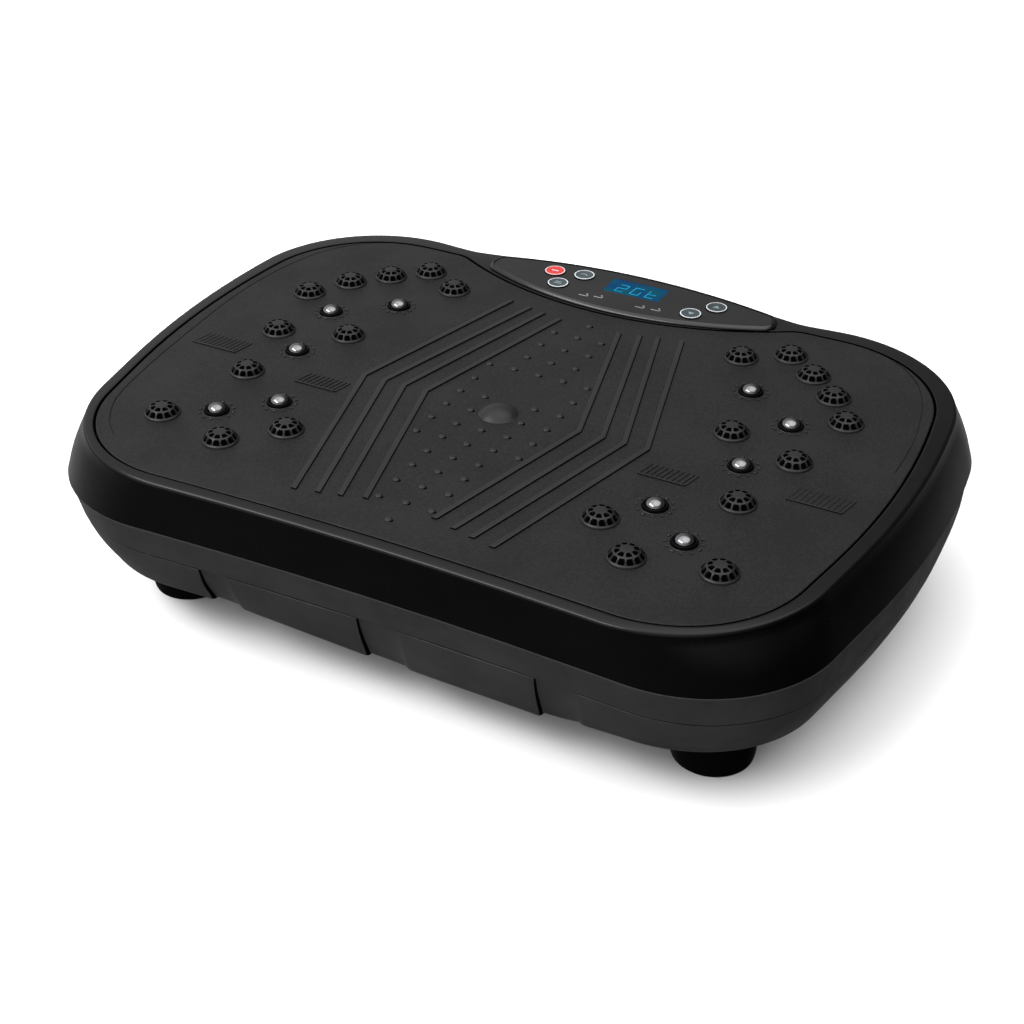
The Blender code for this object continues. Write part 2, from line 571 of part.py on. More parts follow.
# ---- crank drive -------------------------------------------------------------------------------
def make_drive(steel, cast, black_metal, rubber, board_mat):
    axis = (CRANK_X, 0.0, PIVOT_Z)
    for name, side in (("front", -1), ("rear", 1)):
        middle = side * 36.0
        bm = bmesh.new()
        upright(bm, [(CRANK_X - 20.0, PLATE_Z[1] + GAP), (CRANK_X + 20.0, PLATE_Z[1] + GAP),
                     (CRANK_X + 14.0, PIVOT_Z + 6.0), (CRANK_X + 8.0, PIVOT_Z + 13.0),
                     (CRANK_X - 8.0, PIVOT_Z + 13.0), (CRANK_X - 14.0, PIVOT_Z + 6.0)],
                middle - 6.0, middle + 6.0)
        block = finish(f"bearing_block_{name}", bm, cast)
        hole = bmesh.new()
        rod(hole, axis, SHAFT_RADIUS + GAP, middle - 8.0, middle + 8.0)
        cut(block, hole)
        make_rod(name, side, black_metal)
        make_rod_hanger(name, side, steel)

    bm = bmesh.new()
    rod(bm, axis, SHAFT_RADIUS, -61.0, 61.0)
    shaft = finish("crank_shaft", bm, steel)
    discs = bmesh.new()
    for side in (-1, 1):
        rod(discs, (CRANK_X + THROW, 0.0, PIVOT_Z), ECCENTRIC_RADIUS,
            side * ROD_Y - 4.0, side * ROD_Y + 4.0, 28)
    cut(shaft, discs, "UNION")
    hinge_origin(shaft, axis)
    make_pulley("crank_pulley", axis, CRANK_PULLEY_RADIUS, SHAFT_RADIUS, cast, 28)

    motor_axis = (MOTOR_X, 0.0, PIVOT_Z)
    bm = bmesh.new()
    rod(bm, motor_axis, 4.0, -9.0, 14.0 - GAP, 20)
    finish("motor_shaft", bm, steel, origin=motor_axis)
    make_pulley("motor_pulley", motor_axis, MOTOR_PULLEY_RADIUS, 4.0, cast, 20)
    bm = bmesh.new()
    turned(bm, motor_axis, [(9.0, 14.0), (MOTOR_RADIUS, 16.0), (MOTOR_RADIUS, 80.0),
                            (MOTOR_RADIUS - 3.0, 84.0)], 28, "Y")
    finish("motor", bm, black_metal)
    bm = bmesh.new()
    upright(bm, [(MOTOR_X - 28.0, PLATE_Z[1] + GAP), (MOTOR_X + 28.0, PLATE_Z[1] + GAP),
                 (MOTOR_X + 28.0, PIVOT_Z + 10.0), (MOTOR_X + 16.0, PIVOT_Z + 24.0),
                 (MOTOR_X - 16.0, PIVOT_Z + 24.0), (MOTOR_X - 28.0, PIVOT_Z + 10.0)], 10.4, 13.6)
    bracket = finish("motor_bracket", bm, steel, smooth=False)
    shelf = bmesh.new()
    prism(shelf, rectangle((MOTOR_X - 28.0, 12.0), (MOTOR_X + 28.0, 80.0)),
          PLATE_Z[1] + GAP, PIVOT_Z - MOTOR_RADIUS - 0.5)
    cut(bracket, shelf, "UNION")
    hole = bmesh.new()
    rod(hole, motor_axis, 7.0, 8.0, 20.0)
    cut(bracket, hole)
    make_drive_belt(rubber)

    bm = bmesh.new()
    prism(bm, rectangle((-130.0, -90.0), (-56.0, -24.0)), 57.0, 58.6)
    board = finish("motor_driver_board", bm, board_mat, smooth=False)
    parts = bmesh.new()
    for x in (-126.0, -60.0):
        for y in (-86.0, -28.0):
            prism(parts, circle((x, y), 3.0, 10), PLATE_Z[1] + GAP, 57.4)
    prism(parts, rectangle((-122.0, -82.0), (-96.0, -58.0)), 58.0, 78.0)
    prism(parts, rectangle((-90.0, -80.0), (-64.0, -70.0)), 58.0, 76.0)
    for y in (-58.0, -44.0):
        prism(parts, circle((-72.0, y), 6.0, 16), 58.0, 80.0)
    cut(board, parts, "UNION")


def make_pulley(name, axis, radius, bore, mat, count):
    """A flat-belt pulley with a low flange at each side."""
    half = BELT_WIDTH / 2 + 0.5
    flange = radius + 1.6
    bm = bmesh.new()
    turned(bm, axis, [(flange - 0.6, -half - 2.0), (flange, -half), (radius, -half),
                      (radius, half), (flange, half), (flange - 0.6, half + 2.0)], count, "Y")
    pulley = finish(name, bm, mat)
    hole = bmesh.new()
    rod(hole, axis, bore + GAP, -half - 6.0, half + 6.0)
    cut(pulley, hole)
    hinge_origin(pulley, axis)


def make_drive_belt(rubber):
    """The belt's closed run: an arc round each pulley and two straight spans."""
    span = CRANK_X - MOTOR_X
    lean = math.asin((CRANK_PULLEY_RADIUS - MOTOR_PULLEY_RADIUS) / span)
    loops = []
    for extra in (GAP, GAP + BELT_THICKNESS):
        points = []
        for centre, radius, first, last in (
                (CRANK_X, CRANK_PULLEY_RADIUS, -math.pi / 2 - lean, math.pi / 2 + lean),
                (MOTOR_X, MOTOR_PULLEY_RADIUS, math.pi / 2 + lean, 1.5 * math.pi - lean)):
            for step in range(17):
                angle = first + (last - first) * step / 16
                reach = (radius + extra) / math.cos((last - first) / 32)
                points.append((centre + reach * math.cos(angle), PIVOT_Z + reach * math.sin(angle)))
        loops.append(points)
    bm = bmesh.new()
    upright(bm, loops[1], -BELT_WIDTH / 2, BELT_WIDTH / 2)
    belt = finish("drive_belt", bm, rubber)
    hole = bmesh.new()
    upright(hole, loops[0], -BELT_WIDTH, BELT_WIDTH)
    cut(belt, hole)


def make_rod(name, side, mat):
    """A connecting rod with its big end round the eccentric and a wide small end above it."""
    centre = (CRANK_X + THROW, PIVOT_Z)
    low, high = side * ROD_Y - 3.0, side * ROD_Y + 3.0
    outline = []
    for step in range(13):
        angle = math.radians(170.0 + 200.0 * step / 12)
        outline.append((centre[0] + 12.0 * math.cos(angle), centre[1] + 12.0 * math.sin(angle)))
    for step in range(11):
        angle = math.radians(10.0 + 160.0 * step / 10)
        outline.append((centre[0] + 9.0 * math.cos(angle),
                        centre[1] + ROD_LENGTH + 9.0 * math.sin(angle)))
    bm = bmesh.new()
    upright(bm, outline, low, high)
    link = finish(f"connecting_rod_{name}", bm, mat)
    holes = bmesh.new()
    rod(holes, (centre[0], 0.0, centre[1]), ECCENTRIC_RADIUS + GAP, low - 2.0, high + 2.0, 28)
    rod(holes, (centre[0], 0.0, centre[1] + ROD_LENGTH), ROD_PIN_RADIUS + ROD_PIN_CLEARANCE,
        low - 2.0, high + 2.0)
    cut(link, holes)
    hinge_origin(link, (centre[0], side * ROD_Y, centre[1]))


def make_rod_hanger(name, side, mat):
    """The ear under the deck plate that carries the connecting rod's upper pin."""
    pin_z = PIVOT_Z + ROD_LENGTH
    near, far = side * (ROD_Y + 7.0), side * (ROD_Y + 11.0)
    bm = bmesh.new()
    upright(bm, [(CRANK_X - 6.0, pin_z - 6.0), (CRANK_X + 6.0, pin_z - 6.0),
                 (CRANK_X + 12.0, DECK_Z[0] - GAP), (CRANK_X - 12.0, DECK_Z[0] - GAP)],
            min(near, far), max(near, far))
    hanger = finish(f"rod_hanger_{name}", bm, mat)
    pin = bmesh.new()
    ends = sorted((side * (ROD_Y - 4.0), side * (ROD_Y + 9.0)))
    rod(pin, (CRANK_X, 0.0, pin_z), ROD_PIN_RADIUS, *ends, 16)
    cut(hanger, pin, "UNION")


# ---- the whole machine -------------------------------------------------------------------------
def main():
    for old in list(bpy.data.objects):
        bpy.data.objects.remove(old)
    satin_black = material("satin_black_plastic", (0.012, 0.012, 0.013), 0.35)
    cover_black = material("cover_black_plastic", (0.018, 0.018, 0.019), 0.5)
    tread = material("tread_rubber", (0.022, 0.022, 0.023), 0.75)
    chrome = material("magnet_chrome", (0.8, 0.8, 0.8), 0.12, 1.0)
    rubber = material("black_rubber", (0.006, 0.006, 0.006), 0.8)
    steel = material("plated_steel", (0.45, 0.46, 0.48), 0.35, 1.0)
    painted = material("painted_steel", (0.03, 0.03, 0.032), 0.5)
    cast = material("cast_metal", (0.32, 0.32, 0.33), 0.5, 1.0)
    board = material("green_board", (0.02, 0.12, 0.05), 0.5)
    panel = material("panel_film", (0.03, 0.032, 0.033), 0.4)
    display = material("display_blue", (0.01, 0.16, 0.42), 0.2)
    red = material("button_red", (0.6, 0.06, 0.05), 0.35)
    grey = material("button_grey", (0.16, 0.17, 0.18), 0.35)

    make_upper_cover(satin_black)
    make_lower_cover(cover_black)
    make_mat(tread)
    make_magnets(chrome)
    make_deck(painted)
    make_control_panel(panel, display, cover_black, board, {"power_button": red, "plain": grey})
    make_inlet_group(cover_black, satin_black, satin_black, satin_black)
    make_base(painted, cover_black, rubber)
    make_pivots(painted, painted)
    make_drive(steel, cast, painted, rubber, board)


main()
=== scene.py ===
"""Finished look of the rocking vibration plate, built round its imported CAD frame.

Frame: X runs along the plate's long side, Y from front to rear (the control panel is at the
rear), Z up. The origin is on the floor, below the middle of the plate. Dimensions are in
millimetres, and each piece is turned into metres when it is made.
"""
import math
import random

import bmesh
import bpy
from mathutils import Matrix, Vector


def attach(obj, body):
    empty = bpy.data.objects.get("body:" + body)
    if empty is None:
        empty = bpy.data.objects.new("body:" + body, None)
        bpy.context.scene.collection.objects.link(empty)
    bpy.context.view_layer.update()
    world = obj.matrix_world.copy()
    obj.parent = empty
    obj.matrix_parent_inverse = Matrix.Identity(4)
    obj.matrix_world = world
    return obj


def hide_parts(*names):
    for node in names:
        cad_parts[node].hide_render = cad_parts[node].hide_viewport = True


MM = 0.001

# ---- shared with the CAD model: heights above the floor ----
FLOOR_PAN_Z = 40.0            # underside of the lower cover
SEAM_Z = 72.0                 # parting line between the two covers
BELT_Z = 94.0                 # widest level of the housing
RIM_Z = 125.6                 # foot of the rounded outer top edge
MAT_TOP_Z = 129.0             # tread surface
MAT_BOTTOM_Z = 122.6
DECK_TOP_Z = 119.0
WALL = 3.0                    # thickness of the plastic covers
GAP = 0.3                     # clearance between pieces that touch
RECESS_GAP = 0.8              # groove between the tread mat and the cover
HOLE_GAP = 0.4                # clearance of the studs and keys in their holes
CUT_REACH = 5.0               # how far a cutter passes the piece that it cuts
SINK = 0.3                    # how deep a raised detail starts below the tread

# ---- shared with the CAD model: outlines ----
# Corners of half an outline as (x, y, radius), from the front middle round to the rear middle.
RIM_CORNERS = [(0.0, -181.0, 2640.0), (221.0, -191.7, 96.0), (254.5, 2.6, 573.0),
               (238.6, 177.1, 92.0), (121.6, 167.4, 61.0), (0.0, 188.4, 340.0)]
MAT_CORNERS = [(0.0, -173.4, 2500.0), (210.9, -181.4, 78.0), (244.6, -0.4, 530.0),
               (224.4, 155.2, 80.0), (123.9, 154.6, 21.0), (0.0, 83.4, 230.0)]
PANEL_CORNERS = [(0.0, 102.4, 245.0), (107.0, 149.2, 7.0), (104.0, 161.9, 5.0),
                 (0.0, 188.7, 400.0)]
PANEL_LEFT_SHARE = 0.93       # the panel's left half is shorter than its right half
FRONT_CORNER_RADIUS = 82.0    # front corners below the rim, which are fuller than the rim's
OUTLINE_STEPS = [6, 26, 12, 26, 14, 24]   # segments of each corner's arc
PANEL_STEPS = [36, 8, 8, 28]

# Half length, front edge and rear edge of the housing at its lower levels.
BELT_SIZE = (262.5, -189.0, 189.0)
SEAM_SIZE = (260.5, -182.5, 183.0)
PAN_SIZE = (251.5, -171.3, 174.8)

# ---- shared with the CAD model: tread ----
CENTRE_Y = -28.4              # the tread pattern's centre
DOME_PLACES = [(189.2, 84.2), (172.7, 110.2), (152.7, 130.5), (131.4, 148.7), (104.1, 132.6),
               (132.7, 43.1), (176.9, 28.3), (163.8, -26.4), (179.5, -92.8), (130.4, -102.3),
               (102.4, -75.1)]
MAGNET_PLACES = [(161.0, 66.6), (125.2, 94.5), (151.0, 10.6), (152.2, -75.3), (124.1, -49.8)]
MAGNET_RADIUS = 5.8
RIB_WIDTH = 3.4
RIB_HEIGHT = 1.0
RIB_ROUTES = [((22.0, -117.0), (52.0, 3.0), (21.5, 127.0)),
              ((36.0, -121.0), (67.5, 3.0), (35.0, 130.0)),
              ((49.0, -124.0), (81.5, 3.0), (46.5, 133.0)),
              ((63.0, -127.0), (96.0, 3.0), (62.0, 136.0))]

# ---- shared with the CAD model: panel, feet and inlet ----
PANEL_Z = (129.2, 131.4)
PANEL_LEDGE = 2.3
DISPLAY_CENTRE = (7.3, 157.1)
DISPLAY_SIZE = (41.0, 20.0)
BUTTON_RADIUS = 7.2
BUTTON_PLACES = {"power": (-54.2, 158.1), "mode": (-33.2, 161.1), "time": (-44.2, 142.1),
                 "speed_down": (53.8, 141.1), "speed_up": (65.8, 157.1)}
FOOT_X = 180.0
FOOT_Y = 111.0
FOOT_OPENING = 20.0           # radius of the lower cover's opening round each foot post
CUP_HEIGHT = 30.0
INLET_Z = (44.6, 69.4)
INLET_FACE_Y = 181.7
INLET_OPENING = ((-52.0, 150.0), (52.0, 200.0))   # two corners in plan of its opening
SOCKET_X = -27.0
SOCKET_DEPTH = 15.0

# ---- shared with the CAD model: stepped front wall ----
STEP_STARTS = [(-117.0, -118.5), (-11.0, -13.0), (101.0, 99.0)]    # x at the seam and at the pan
STEP_RUN = (17.0, 24.0, 23.0)
STEP_DEPTH = (1.4, 3.4)       # at the seam and at the pan
# Along a step: the share of its run, a distance added, and the share of its depth.
STEP_SHAPE = [(0.0, -1.2, 0.0), (0.0, -0.4, 0.12), (0.0, 0.3, 0.9), (0.0, 0.9, 1.0),
              (0.6, 0.0, 0.85), (1.0, 0.0, 0.7), (1.0, 2.5, 0.25), (1.0, 5.0, 0.0)]
# The wall's bottom edge hangs lower as a skirt between two ramps along x.
SKIRT_LEFT = (-104.0, -72.0)
SKIRT_RIGHT = (98.0, 142.0)
SKIRT_DROP = 6.2

# ---- room: strengths of the surroundings ----
ROOM_LOW = 0.12               # below the horizon
ROOM_WALLS = 1.0              # above the horizon
ROOM_CEILING = 2.0            # overhead
ROOM_BRIGHT_SIDE = (-0.75, -0.66, 0.0)
ROOM_NEAR = 1.4               # multiplier on the bright side, and on the opposite one
ROOM_FAR = 0.15
FLOOR_SIDE = (-0.6, 0.75, 0.28)    # where the floor beyond the shadow shows in reflections
FLOOR_GLOW = 0.3
# Where each part of the room comes in, as heights of the view's direction, or as how nearly it
# agrees with the side above.
WALLS_RISE = (-0.02, 0.15)
FLOOR_FALL = (-0.25, -0.02)
CEILING_RISE = (0.62, 0.85)
SIDE_REACH = (-0.7, 0.9)
FLOOR_REACH = (-0.15, 0.65)
BACKDROP_RADIUS = 5.5         # in metres
FLOOR_HALF = 6000.0           # half the floor's width
FLOOR_Z = (-20.0, -0.05)      # underside and top, which is just clear of the soles

# Place, aim and size in metres, and power, of each light.
SOFTBOXES = {"key_softbox": ((-0.62, -0.88, 1.28), (0.0, 0.0, 0.12), (1.5, 0.42), 23.0),
             "overhead_softbox": ((0.6, 0.15, 2.2), (0.0, 0.0, 0.1), (2.2, 2.0), 16.0)}

# ---- camera ----
CAMERA_TARGET = (56.6, -119.8, 129.0)
CAMERA_DISTANCE = 957.5
CAMERA_AZIMUTH = 27.47
CAMERA_ELEVATION = 33.54
CAMERA_LENS = 61.24
CAMERA_SENSOR = 36.0


# ---- outlines ----
def mirrored(half):
    """The whole outline from its right half, whose first and last corners lie on x = 0."""
    left = [(-x, y, radius) for x, y, radius in reversed(half[1:-1])]
    return half + left


def rounded_outline(half, half_steps):
    """Points of the closed outline, with every corner turned by an arc."""
    corners = mirrored(half)
    steps = half_steps + list(reversed(half_steps[1:-1]))
    points = []
    for index, (x, y, radius) in enumerate(corners):
        corner = Vector((x, y))
        to_last = (Vector(corners[index - 1][:2]) - corner).normalized()
        to_next = (Vector(corners[(index + 1) % len(corners)][:2]) - corner).normalized()
        half_angle = to_last.angle(to_next) / 2
        centre = corner + (to_last + to_next).normalized() * radius / math.sin(half_angle)
        reach = radius / math.tan(half_angle)
        start = corner + to_last * reach - centre
        end = corner + to_next * reach - centre
        first = math.atan2(start.y, start.x)
        turn = math.atan2(end.y, end.x) - first
        turn = (turn + math.pi) % (2 * math.pi) - math.pi
        for step in range(steps[index] + 1):
            angle = first + turn * step / steps[index]
            points.append((centre.x + radius * math.cos(angle), centre.y + radius * math.sin(angle)))
    return points


def grown(points, distance):
    """The outline moved outwards by a distance, or inwards if it is negative."""
    result = []
    for index, point in enumerate(points):
        before = Vector(points[index - 1])
        after = Vector(points[(index + 1) % len(points)])
        along = (after - before).normalized()
        result.append((point[0] + along.y * distance, point[1] - along.x * distance))
    return result


def fuller_front(corners):
    """The corners with the front corner's radius as it is below the rim."""
    x, y, _ = corners[1]
    return [corners[0], (x, y, FRONT_CORNER_RADIUS)] + corners[2:]


def stretched(points, size):
    """The outline scaled to a half length, a front edge and a rear edge."""
    half_length, front, rear = size
    reach = max(x for x, _ in points)
    low = min(y for _, y in points)
    high = max(y for _, y in points)
    return [(x * half_length / reach, front + (y - low) * (rear - front) / (high - low))
            for x, y in points]


def between(first, second, share):
    """The outline a share of the way from one outline to another with as many points."""
    return [(x0 + (x1 - x0) * share, y0 + (y1 - y0) * share)
            for (x0, y0), (x1, y1) in zip(first, second)]


def circle(centre, radius, count, phase=0.0):
    return [(centre[0] + radius * math.cos(2 * math.pi * (step + phase) / count),
             centre[1] + radius * math.sin(2 * math.pi * (step + phase) / count))
            for step in range(count)]


def rectangle(low, high):
    """A rectangle's outline from its two opposite corners."""
    return [low, (high[0], low[1]), high, (low[0], high[1])]


def rounded_box(centre, half, radius, steps=5):
    """A rectangle's outline with round corners."""
    points = []
    for quarter, (sign_x, sign_y) in enumerate([(1, 1), (-1, 1), (-1, -1), (1, -1)]):
        middle = (centre[0] + sign_x * (half[0] - radius), centre[1] + sign_y * (half[1] - radius))
        for step in range(steps + 1):
            angle = math.radians(90.0) * (quarter + step / steps)
            points.append((middle[0] + radius * math.cos(angle),
                           middle[1] + radius * math.sin(angle)))
    return points


def level(points, z):
    return [(x, y, z) for x, y in points]


def quarter_turn(width, height, steps):
    """Steps round a convex edge, as shares inwards and upwards, from the side to the top."""
    return [(width * (1.0 - math.cos(math.radians(90.0) * step / steps)),
             height * math.sin(math.radians(90.0) * step / steps)) for step in range(steps + 1)]


def rows(outline, height, profile):
    """Rings round an outline, from pairs of a distance outwards and a rise."""
    return [level(grown(outline, outwards), height + up) for outwards, up in profile]


def slab(outline, low, high, edge, flat):
    """Rings of a slab with a rounded upper edge, and one more where its top is flat."""
    rings = [level(outline, low), level(outline, high - edge)]
    for inward, up in quarter_turn(edge, edge, 3)[1:]:
        rings.append(level(grown(outline, -inward), high - edge + up))
    return rings + [level(grown(outline, -flat), high)]


RIM = rounded_outline(RIM_CORNERS, OUTLINE_STEPS)
MAT = rounded_outline(MAT_CORNERS, OUTLINE_STEPS)
PANEL = [(x * PANEL_LEFT_SHARE if x < 0.0 else x, y)
         for x, y in rounded_outline(PANEL_CORNERS, PANEL_STEPS)]
BODY_RIM = rounded_outline(fuller_front(RIM_CORNERS), OUTLINE_STEPS)
BELT = stretched(BODY_RIM, BELT_SIZE)
SEAM = stretched(BODY_RIM, SEAM_SIZE)
PAN = stretched(BODY_RIM, PAN_SIZE)


# ---- materials ----
DRIFT_SCALE = 22.0            # scale of the slow drift in colour
WEAR_SCALE = 60.0             # scale of the drift in roughness
NOISE_REACH = (0.3, 0.7)      # part of a noise texture's range that is used


def shader_node(tree, kind, values, links):
    """A new node with some inputs set, and others linked to the outputs of other nodes."""
    node = tree.nodes.new(kind)
    for name, value in values.items():
        node.inputs[name].default_value = value
    for name, source in links.items():
        tree.links.new(source, node.inputs[name])
    return node


def noise(tree, place, scale, detail=3.0):
    """The value of a noise texture in the piece's own coordinates."""
    return shader_node(tree, "ShaderNodeTexNoise", {"Scale": scale, "Detail": detail},
                       {"Vector": place.outputs["Object"]}).outputs["Fac"]


def ramp(tree, source, low, high, ends=(0.35, 0.65)):
    """A colour that runs from one tone to another as the source rises."""
    colours = shader_node(tree, "ShaderNodeValToRGB", {}, {"Fac": source})
    for element, place, colour in zip(colours.color_ramp.elements, ends, (low, high)):
        element.position = place
        element.color = (*colour, 1.0)
    return colours.outputs["Color"]


def mapped(tree, source, start, end):
    """A value carried from one range to another, and held at the ends."""
    limits = {"From Min": start[0], "From Max": start[1], "To Min": end[0], "To Max": end[1]}
    return shader_node(tree, "ShaderNodeMapRange", limits, {"Value": source}).outputs["Result"]


def joined(tree, operation, first, second):
    """Two values brought together by a sum or a product."""
    node = shader_node(tree, "ShaderNodeMath", {}, {0: first, 1: second})
    node.operation = operation
    return node.outputs["Value"]


def surface(name, colour, roughness, metallic=0.0, specular=0.5, grain=900.0, depth=0.03,
            mottle=0.12, spread=0.05, speckle=0.0):
    """A procedural finish: fine grain in the bump, and slow drift in colour and roughness."""
    mat = bpy.data.materials.new(name)
    mat.use_nodes = True
    tree = mat.node_tree
    shader = tree.nodes["Principled BSDF"]
    shader.inputs["Metallic"].default_value = metallic
    shader.inputs["Specular IOR Level"].default_value = specular
    place = tree.nodes.new("ShaderNodeTexCoord")
    low = tuple(part * (1.0 - mottle) for part in colour)
    high = tuple(part * (1.0 + mottle) for part in colour)
    tone = noise(tree, place, DRIFT_SCALE)
    if speckle:
        dots = noise(tree, place, 0.6 * grain, 1.0)
        tone = joined(tree, "ADD", tone, mapped(tree, dots, NOISE_REACH, (-speckle, speckle)))
    tree.links.new(ramp(tree, tone, low, high), shader.inputs["Base Color"])
    wear = noise(tree, place, WEAR_SCALE, 5.0)
    sheen = mapped(tree, wear, NOISE_REACH, (roughness - spread, roughness + spread))
    tree.links.new(sheen, shader.inputs["Roughness"])
    bump = shader_node(tree, "ShaderNodeBump", {"Distance": depth * MM, "Strength": 1.0},
                       {"Height": noise(tree, place, grain, 2.0)})
    tree.links.new(bump.outputs["Normal"], shader.inputs["Normal"])
    return mat


def glowing(name, low, high, strength, scale):
    """A lit surface whose tone drifts between two colours."""
    mat = surface(name, tuple(0.05 * part for part in low), 0.25, specular=0.03, grain=400.0,
                  depth=0.005)
    tree = mat.node_tree
    shader = tree.nodes["Principled BSDF"]
    place = tree.nodes["Texture Coordinate"]
    tint = ramp(tree, noise(tree, place, scale, 1.0), low, high, (0.4, 0.6))
    tree.links.new(tint, shader.inputs["Emission Color"])
    shader.inputs["Emission Strength"].default_value = strength
    return mat


BLACK = (0.0006, 0.0006, 0.0006)
POLISHED = {"grain": 600.0, "depth": 0.001, "mottle": 0.25, "spread": 0.03}
# Material name, colour, roughness, and what differs from a surface's usual values.
SURFACES = {
    "gloss": ("gloss_black", BLACK, 0.25, {"specular": 0.17, **POLISHED}),
    "edge": ("polished_edge", BLACK, 0.24, {"specular": 0.34, **POLISHED}),
    "satin": ("satin_black", (0.018, 0.018, 0.0185), 0.45,
              {"specular": 0.14, "grain": 1500.0, "depth": 0.02}),
    "tread": ("tread_rubber", (0.0056, 0.0056, 0.0055), 0.5,
              {"specular": 0.13, "grain": 1300.0, "depth": 0.2, "mottle": 0.28, "speckle": 0.28}),
    "dome": ("dome_rubber", (0.0085, 0.0085, 0.0083), 0.36, {"specular": 0.17}),
    # painted shade: near-black and unreflecting, put on groove walls, pit floors, step ends and the
    # sides of small raised details, where shade falls
    "painted_shade": ("painted_shade_black", BLACK, 0.8, {"specular": 0.0}),
    "chrome": ("polished_steel", (0.14, 0.14, 0.144), 0.1,
               {"metallic": 1.0, "grain": 700.0, "depth": 0.001, "mottle": 0.06, "spread": 0.03}),
    # a real seat ring round each stud, made near-black and nearly unreflecting as painted shade for
    # the dark crescent under the stud
    "shaded_collar": ("magnet_seat_shade", BLACK, 0.4, {"specular": 0.03}),
    "panel": ("panel_film", (0.0085, 0.0087, 0.0085), 0.34,
              {"specular": 0.14, "grain": 1600.0, "depth": 0.006}),
    "red": ("key_red", (0.42, 0.024, 0.022), 0.35,
            {"specular": 0.2, "grain": 800.0, "depth": 0.01}),
    "grey": ("key_grey", (0.026, 0.037, 0.042), 0.3,
             {"specular": 0.2, "grain": 800.0, "depth": 0.01, "mottle": 0.3}),
    "white": ("white_print", (0.42, 0.43, 0.44), 0.45, {"specular": 0.1, "depth": 0.005}),
    "icon": ("icon_print", (0.14, 0.17, 0.185), 0.45, {"specular": 0.1, "depth": 0.005}),
    "faint": ("faint_print", (0.2, 0.2, 0.2), 0.5, {"specular": 0.1, "depth": 0.005}),
    "rubber": ("black_rubber", (0.0009, 0.0009, 0.0009), 0.6,
               {"specular": 0.04, "grain": 700.0, "depth": 0.05}),
    "inlet": ("inlet_plastic", (0.004, 0.004, 0.004), 0.42, {"specular": 0.15}),
    "switch": ("switch_plastic", (0.003, 0.003, 0.003), 0.2, {"specular": 0.2}),
    "brass": ("contact_metal", (0.3, 0.29, 0.26), 0.25, {"metallic": 1.0}),
    "zinc": ("zinc_screw", (0.2, 0.205, 0.21), 0.35, {"metallic": 1.0}),
    "painted": ("painted_steel", (0.012, 0.012, 0.013), 0.5,
                {"specular": 0.15, "grain": 600.0, "depth": 0.04}),
    "cast": ("cast_metal", (0.15, 0.15, 0.155), 0.5,
             {"metallic": 1.0, "grain": 500.0, "depth": 0.08}),
    "machined": ("machined_steel", (0.24, 0.24, 0.25), 0.28, {"metallic": 1.0}),
    "motor": ("motor_paint", (0.008, 0.008, 0.009), 0.4, {"specular": 0.15}),
    "board": ("circuit_board", (0.007, 0.045, 0.016), 0.45, {"specular": 0.2, "mottle": 0.3})}
# Material name, two tones, strength and scale of the drift between the tones.
GLOWS = {"display": ("display_glow", (0.0, 0.085, 0.14), (0.0, 0.04, 0.18), 0.85, 50.0),
         "digit": ("display_digits", (0.01, 0.33, 0.66), (0.02, 0.42, 0.76), 0.9, 60.0)}
FINISHES = {}


def make_finishes():
    for finish, (name, colour, roughness, others) in SURFACES.items():
        FINISHES[finish] = surface(name, colour, roughness, **others)
    for finish, settings in GLOWS.items():
        FINISHES[finish] = glowing(*settings)


# ---- pieces ----
SHARP_ANGLE = 35.0            # edges that turn more than this stay sharp in the shading
SOFT_ANGLE = 40.0             # edges of the CAD nodes that turn more than this are rounded


def linked(name, data):
    """A new object in the scene."""
    thing = bpy.data.objects.new(name, data)
    bpy.context.scene.collection.objects.link(thing)
    return thing


def metre_mesh(name, bm):
    """A mesh in metres from a bmesh in millimetres, which is used up."""
    bmesh.ops.recalc_face_normals(bm, faces=bm.faces)
    bmesh.ops.transform(bm, matrix=Matrix.Scale(MM, 4), verts=bm.verts)
    mesh = bpy.data.meshes.new(name)
    bm.to_mesh(mesh)
    bm.free()
    return mesh


def shaded(mesh, sharp=SHARP_ANGLE):
    mesh.shade_smooth()
    mesh.set_sharp_from_angle(angle=math.radians(sharp))


def make_piece(name, bm, body, finishes):
    """Turn a bmesh in millimetres into a piece in metres that moves with a body."""
    mesh = metre_mesh(name, bm)
    for finish in finishes:
        mesh.materials.append(FINISHES[finish])
    shaded(mesh)
    piece = linked(name, mesh)
    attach(piece, body)
    return piece


def paint(faces, material):
    for face in faces:
        face.material_index = material


def loft(bm, rings, material=0, closed=True):
    """A closed body through rings of equal length, with its two ends capped."""
    loops = [[bm.verts.new(point) for point in ring] for ring in rings]
    faces = []
    for low, high in zip(loops, loops[1:]):
        for index in range(len(low)):
            after = (index + 1) % len(low)
            faces.append(bm.faces.new((low[index], low[after], high[after], high[index])))
    if closed:
        faces.append(bm.faces.new(list(reversed(loops[0]))))
        faces.append(bm.faces.new(loops[-1]))
    paint(faces, material)
    return faces


def prism(bm, points, low, high, material=0):
    return loft(bm, [level(points, low), level(points, high)], material)


def turned(bm, centre, profile, count, axis="Z"):
    """A round body from (radius, height) pairs along an axis through the centre."""
    rings = []
    for radius, height in profile:
        ring = []
        for across, up in circle((0.0, 0.0), radius, count, 0.5):
            offset = {"Z": (across, up, height), "Y": (up, height, across)}[axis]
            ring.append(tuple(a + b for a, b in zip(centre, offset)))
        rings.append(ring)
    return loft(bm, rings)


